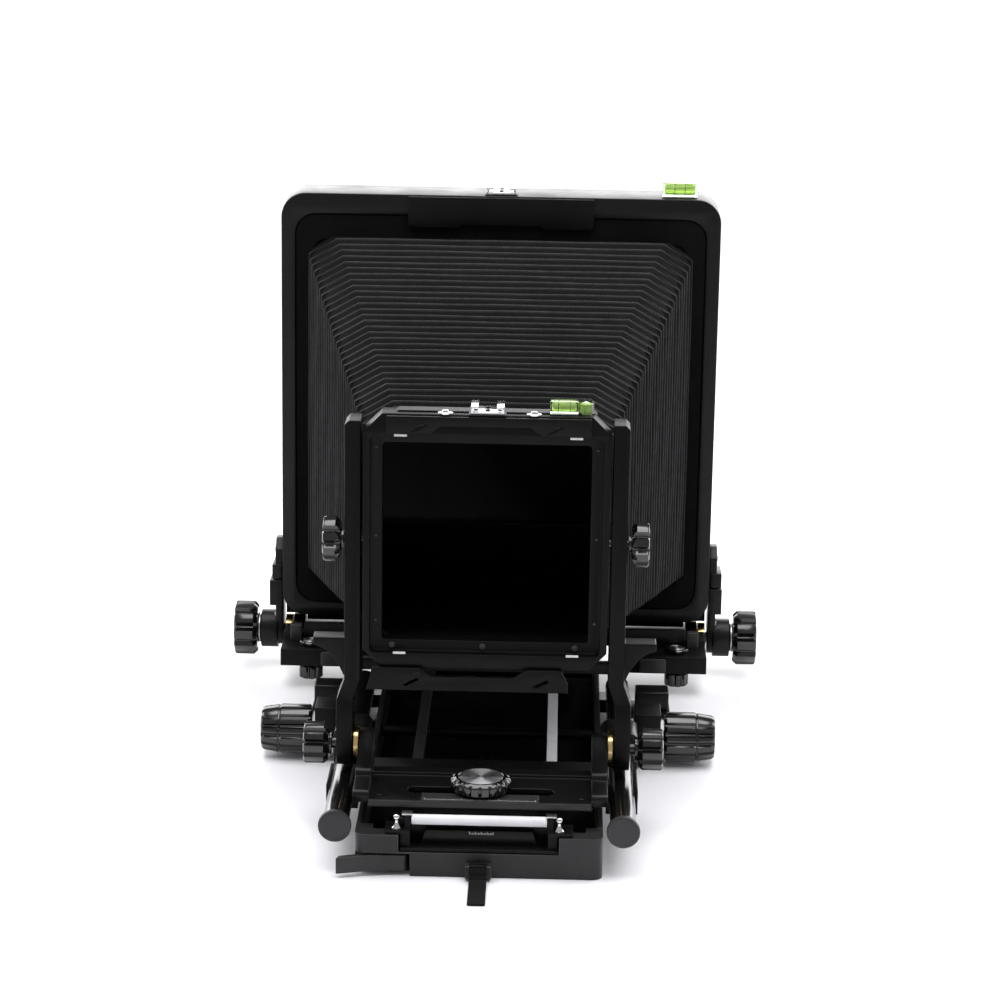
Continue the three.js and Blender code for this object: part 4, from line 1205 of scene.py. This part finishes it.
def bracket_fittings():
    """The catch pins on the roller bracket's flanges, and the scale plate between its uprights."""
    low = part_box("roller_bracket")[0]
    flange = 31.4 * MM
    ball = 2.3 * MM
    pins = Shape()
    for x in (-55.5, 54.0):
        profile = scaled((0, 3.2), (0.8, 3.2), (1.4, 2.7), (4.2, 1.3), (5.0, 1.3))
        for a in np.linspace(0.6, math.pi, 9):
            profile.append((5.6 * MM + ball * (1 - math.cos(a)), ball * math.sin(a)))
        pins.turned(profile, Vector((x * MM, low.y + 6 * MM, flange)), Z, 32)
    pins.piece("catch_pins", CHROME, "front_carriage")
    blocks = Shape()
    for x in (-48.6, 48.6):
        y, z = low.y + 9.5 * MM, 40.1 * MM
        end = Vector((x * MM, y, z))
        blocks.block(end + mm(-3.6, -2, 0), end + mm(3.6, 4.5, 1.2), 0.25 * MM)
    blocks.piece("roller_end_caps", STEEL, "front_carriage")
    plate = Shape()
    outline = [(-39, 0), (39, 0), (36, 9.2), (-36, 9.2)]
    y = low.y + 10 * MM
    plate.prism([(x * MM, 19.8 * MM + z * MM) for x, z in outline], "Y", y, y + 1.4 * MM, 0.25 * MM)
    plate.piece("bracket_scale_plate", SATIN, "front_carriage")
    ticks = Shape()
    for k in range(-8, 9):
        x = k * 1.0 * MM + 1.5 * MM
        tall = 2.1 if k % 4 == 0 else 1.3
        foot = Vector((x, y, 26.4 * MM))
        ticks.block(foot + mm(-0.16, -0.08, 0), foot + mm(0.16, 0.2, tall), 0)
    ticks.piece("bracket_scale_ticks", INK, "front_carriage")


def rear_fittings():
    base_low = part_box("rear_base_plate")[0]
    for side, sign in SIDES.items():
        out = X * sign
        low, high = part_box("rear_tilt_knob_" + side)
        y, z = (low.y + high.y) / 2, (low.z + high.z) / 2
        ring, radius = Shape(), 11.6 * MM
        profile = [(0, 4.4 * MM), (0, radius - 0.4 * MM), (0.3 * MM, radius), (1.0 * MM, radius)]
        profile += [(1.3 * MM, radius - 0.4 * MM), (1.3 * MM, 4.4 * MM)]
        ring.turned(profile, Vector((sign * 190.4 * MM, y, z)), out, 64, closed=True)
        ring.piece("rear_tilt_ring_" + side, STEEL, "rear_tilt_knob_" + side)

        stop = Shape()
        x = sign * 158.5 * MM
        foot = Vector((x, base_low.y, 0))
        stop.block(foot + mm(-4.6, 22, 32), foot + mm(4.6, 29, 46), 0.8 * MM, 3)
        stop.piece("rear_stop_block_" + side, DARK_GREY, "rear_base")

        guard = Shape()
        x = sign * 126.5 * MM
        outline = rounded(x - 10.5 * MM, x + 10.5 * MM, 19.6 * MM, 31.4 * MM, 2.2 * MM, 5)
        guard.prism(outline, "Y", base_low.y - 2.2 * MM, base_low.y - 0.05 * MM, 0.7 * MM, 3)
        guard.piece("wing_end_cap_" + side, DARK_GREY, "rear_base")

        arm = Shape()
        block_low, block_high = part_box("rear_tilt_arm_" + side)
        x0, x1 = sorted((sign * 171.6 * MM, sign * 181 * MM))
        arm.block((x0, y - 11 * MM, 62 * MM), (x1, y + 8 * MM, 74.6 * MM), 0.8 * MM, 3)
        upper_end = (x1 + 0.4 * sign * MM, y + 10 * MM, 88 * MM)
        arm.block((x0 + 1 * MM, y - 14 * MM, 76 * MM), upper_end, 0.8 * MM, 3)
        arm.piece("rear_arm_blocks_" + side, SATIN, "rear_frame")
        pin = Shape()
        cap_screw(pin, Vector((sign * 177.6 * MM, y, 98 * MM)), out, 3.2 * MM, 1.2 * MM)
        cap_screw(pin, Vector((sign * 177.6 * MM, y - 7 * MM, 44 * MM)), out, 2.0 * MM, 1.0 * MM)
        pin.piece("rear_arm_screws_" + side, STEEL, "rear_frame")


def dark_trim():
    """A skirt and an apron that close the slot under the rear frame, and the bed's side flanges."""
    low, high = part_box("rear_frame")
    middle = (low.y + high.y) / 2 - 2 * MM
    half = [(0, 39.2), (152.4, 39.2), (152.4, 44.6), (169.5, 44.6)]
    half += [(169.5, 68), (153, 68), (151, 50), (0, 50)]
    outline = half + [(-x, z) for x, z in reversed(half[1:-1])]
    skirt = Shape()
    points = [(x * MM, z * MM) for x, z in outline]
    skirt.prism(points, "Y", middle - 3 * MM, middle + 3 * MM, 0.4 * MM, 2)
    skirt.piece("rear_frame_skirt", MATTE, "rear_frame")
    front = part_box("rear_saddle")[0].y
    apron = Shape()
    apron_low = (-152 * MM, front - 4.4 * MM, 36.8 * MM)
    apron.block(apron_low, (152 * MM, front - 0.4 * MM, 47.5 * MM), 0.6 * MM)
    apron.piece("rear_base_apron", MATTE, "rear_base")
    for side, sign in SIDES.items():
        x0, x1 = sorted((sign * 79.0 * MM, sign * 101 * MM))
        flange = Shape().block((x0, -20 * MM, 1.2 * MM), (x1, 185 * MM, 4.6 * MM), 0.6 * MM)
        x0, x1 = sorted((sign * 79.0 * MM, sign * 139 * MM))
        flange.block((x0, 134 * MM, 1.2 * MM), (x1, 166 * MM, 4.6 * MM), 0.6 * MM)
        flange.piece("bed_flange_" + side, MATTE, "bed")
        block = Shape()
        x0, x1 = sorted((sign * 112 * MM, sign * 138 * MM))
        block.block((x0, 140 * MM, 4.2 * MM), (x1, 160 * MM, 20 * MM), 1.6 * MM, 3)
        block.piece("side_block_" + side, SATIN, "bed")


def back_fittings():
    """Corner and spring screws, the cover's pull and hinge pins, and the grid ruled on the ground glass."""
    low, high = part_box("reversible_back")
    behind = high.y
    screws = Shape()
    for x in (-1, 1):
        for z in (low.z + 9 * MM, high.z - 9 * MM):
            cap_screw(screws, Vector((x * 154 * MM, behind, z)), Y, 2.6 * MM, 1.2 * MM)
            cap_screw(screws, Vector((x * 60 * MM, behind, z)), Y, 2.0 * MM, 1.0 * MM)
    screws.piece("back_plate_screws", STEEL, "rear_frame")
    low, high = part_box("glass_frame")
    middle = (low.z + high.z) / 2
    edge = Shape()
    for x in (-1, 1):
        for z in (middle - 62 * MM, middle + 62 * MM):
            cap_screw(edge, Vector((x * 140 * MM, high.y, z)), Y, 2.0 * MM, 0.9 * MM)
    edge.piece("glass_frame_screws", STEEL, "glass_carrier")
    spring_screws = Shape()
    for node in ("back_spring_top", "back_spring_bottom"):
        low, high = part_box(node)
        for x in (-155, 155):
            cap_screw(spring_screws, Vector((x * MM, high.y, (low.z + high.z) / 2)), Y, 2.4 * MM, 1.2 * MM)
    spring_screws.piece("spring_screws", STEEL, "rear_frame")
    low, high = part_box("ground_glass")
    grid = Shape()
    width, step = 0.12 * MM, 20 * MM
    y0, y1 = high.y + 0.02 * MM, high.y + 0.06 * MM
    mid = (low.z + high.z) / 2
    for k in range(-6, 7):
        grid.block((k * step - width, y0, low.z + 4 * MM), (k * step + width, y1, high.z - 4 * MM), 0)
    for k in range(-5, 6):
        z = mid + k * step
        grid.block((low.x + 4 * MM, y0, z - width), (high.x - 4 * MM, y1, z + width), 0)
    grid.piece("glass_grid", KNOB, "glass_carrier")
    low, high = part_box("glass_cover")
    pull = Shape()
    foot = Vector((0, high.y, low.z))
    pull.block(foot + mm(-14, -3, 1), foot + mm(14, 1.2, 5.5), 0.8 * MM, 3)
    pull.piece("cover_pull", SATIN, "glass_cover")
    pins = Shape()
    for x in (-107, -73, 73, 107):
        place = Vector((x * MM, 297.1 * MM, 321.5 * MM))
        pins.turned(scaled((-1.2, 0), (-1.2, 1.5), (1.2, 1.5), (1.2, 0)), place, X, 24)
    pins.piece("cover_hinge_pins", STEEL, "glass_carrier")


rigid_pieces()
lens_frame_fittings()
shoe_bases()
cross_plate_fittings()
bracket_fittings()
rear_fittings()
dark_trim()
back_fittings()
side_knobs()
shift_knob()
swing_lock_knobs()
focus_drive()
guide_tubes()
racks()
roller()
levels()
bellows()
pull_strap()
release_lever()
glass_and_springs()


# ---- Stage and light ----
def make_floor():
    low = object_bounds()[0]
    half = 14.0
    corners = ((-half, -half), (half, -half), (half, half), (-half, half))
    bm = bmesh.new()
    bm.faces.new([bm.verts.new((x, y, 0)) for x, y in corners])
    mesh = bpy.data.meshes.new("floor")
    bm.to_mesh(mesh)
    bm.free()
    look = Look("floor")
    look.link(look.mix(look.spread(look.noise(1.5), 0.0, 1.0), grey(0.86), grey(0.9)), "Base Color")
    look.set(Roughness=0.38, Specular_IOR_Level=0.5)
    mesh.materials.append(look.material)
    floor = bpy.data.objects.new("floor", mesh)
    bpy.context.scene.collection.objects.link(floor)
    floor.location.z = low.z - 0.2 * MM


WORLD_BASE = 0.42
WORLD_BAND = 3.2


def make_world():
    """A pale studio with a long bright panel low down behind the object."""
    world = bpy.data.worlds.new("studio")
    bpy.context.scene.world = world
    world.use_nodes = True
    nodes, links = world.node_tree.nodes, world.node_tree.links
    axes = nodes.new("ShaderNodeSeparateXYZ")
    links.new(nodes.new("ShaderNodeTexCoord").outputs["Generated"], axes.inputs[0])

    def ramp(axis, start, end, low, high):
        made = nodes.new("ShaderNodeMapRange")
        made.interpolation_type = "SMOOTHSTEP"
        links.new(axes.outputs[axis], made.inputs["Value"])
        for socket, value in (("From Min", start), ("From Max", end), ("To Min", low), ("To Max", high)):
            made.inputs[socket].default_value = value
        return made.outputs["Result"]

    def math_node(operation, a, b):
        made = nodes.new("ShaderNodeMath")
        made.operation = operation
        links.new(a, made.inputs[0])
        if isinstance(b, float):
            made.inputs[1].default_value = b
        else:
            links.new(b, made.inputs[1])
        return made.outputs[0]

    band = math_node("MULTIPLY", ramp("Y", 0.1, 0.8, 0.0, WORLD_BAND), ramp("Z", 0.4, 0.7, 1.0, 0.0))
    strength = math_node("ADD", band, WORLD_BASE)
    links.new(strength, nodes["Background"].inputs["Strength"])
    nodes["Background"].inputs["Color"].default_value = (1, 1, 1, 1)


def area_light(name, place, target, size, power):
    data = bpy.data.lights.new(name, "AREA")
    data.shape = "RECTANGLE"
    data.size, data.size_y = size
    data.energy = power
    lamp = bpy.data.objects.new(name, data)
    bpy.context.scene.collection.objects.link(lamp)
    lamp.location = place
    lamp.rotation_mode = "QUATERNION"
    lamp.rotation_quaternion = (Vector(target) - Vector(place)).to_track_quat("-Z", "Y")


def make_lights():
    area_light("top", (0, -0.05, 1.35), (0, -0.1, 0), (1.7, 1.2), 30)
    area_light("left", (-1.3, 0.5, 0.7), (0, 0, 0.2), (0.5, 1.0), 5)
    area_light("right", (1.3, 0.5, 0.7), (0, 0, 0.2), (0.5, 1.0), 5)


make_floor()
make_world()
make_lights()
bpy.context.scene.view_settings.view_transform = "Standard"
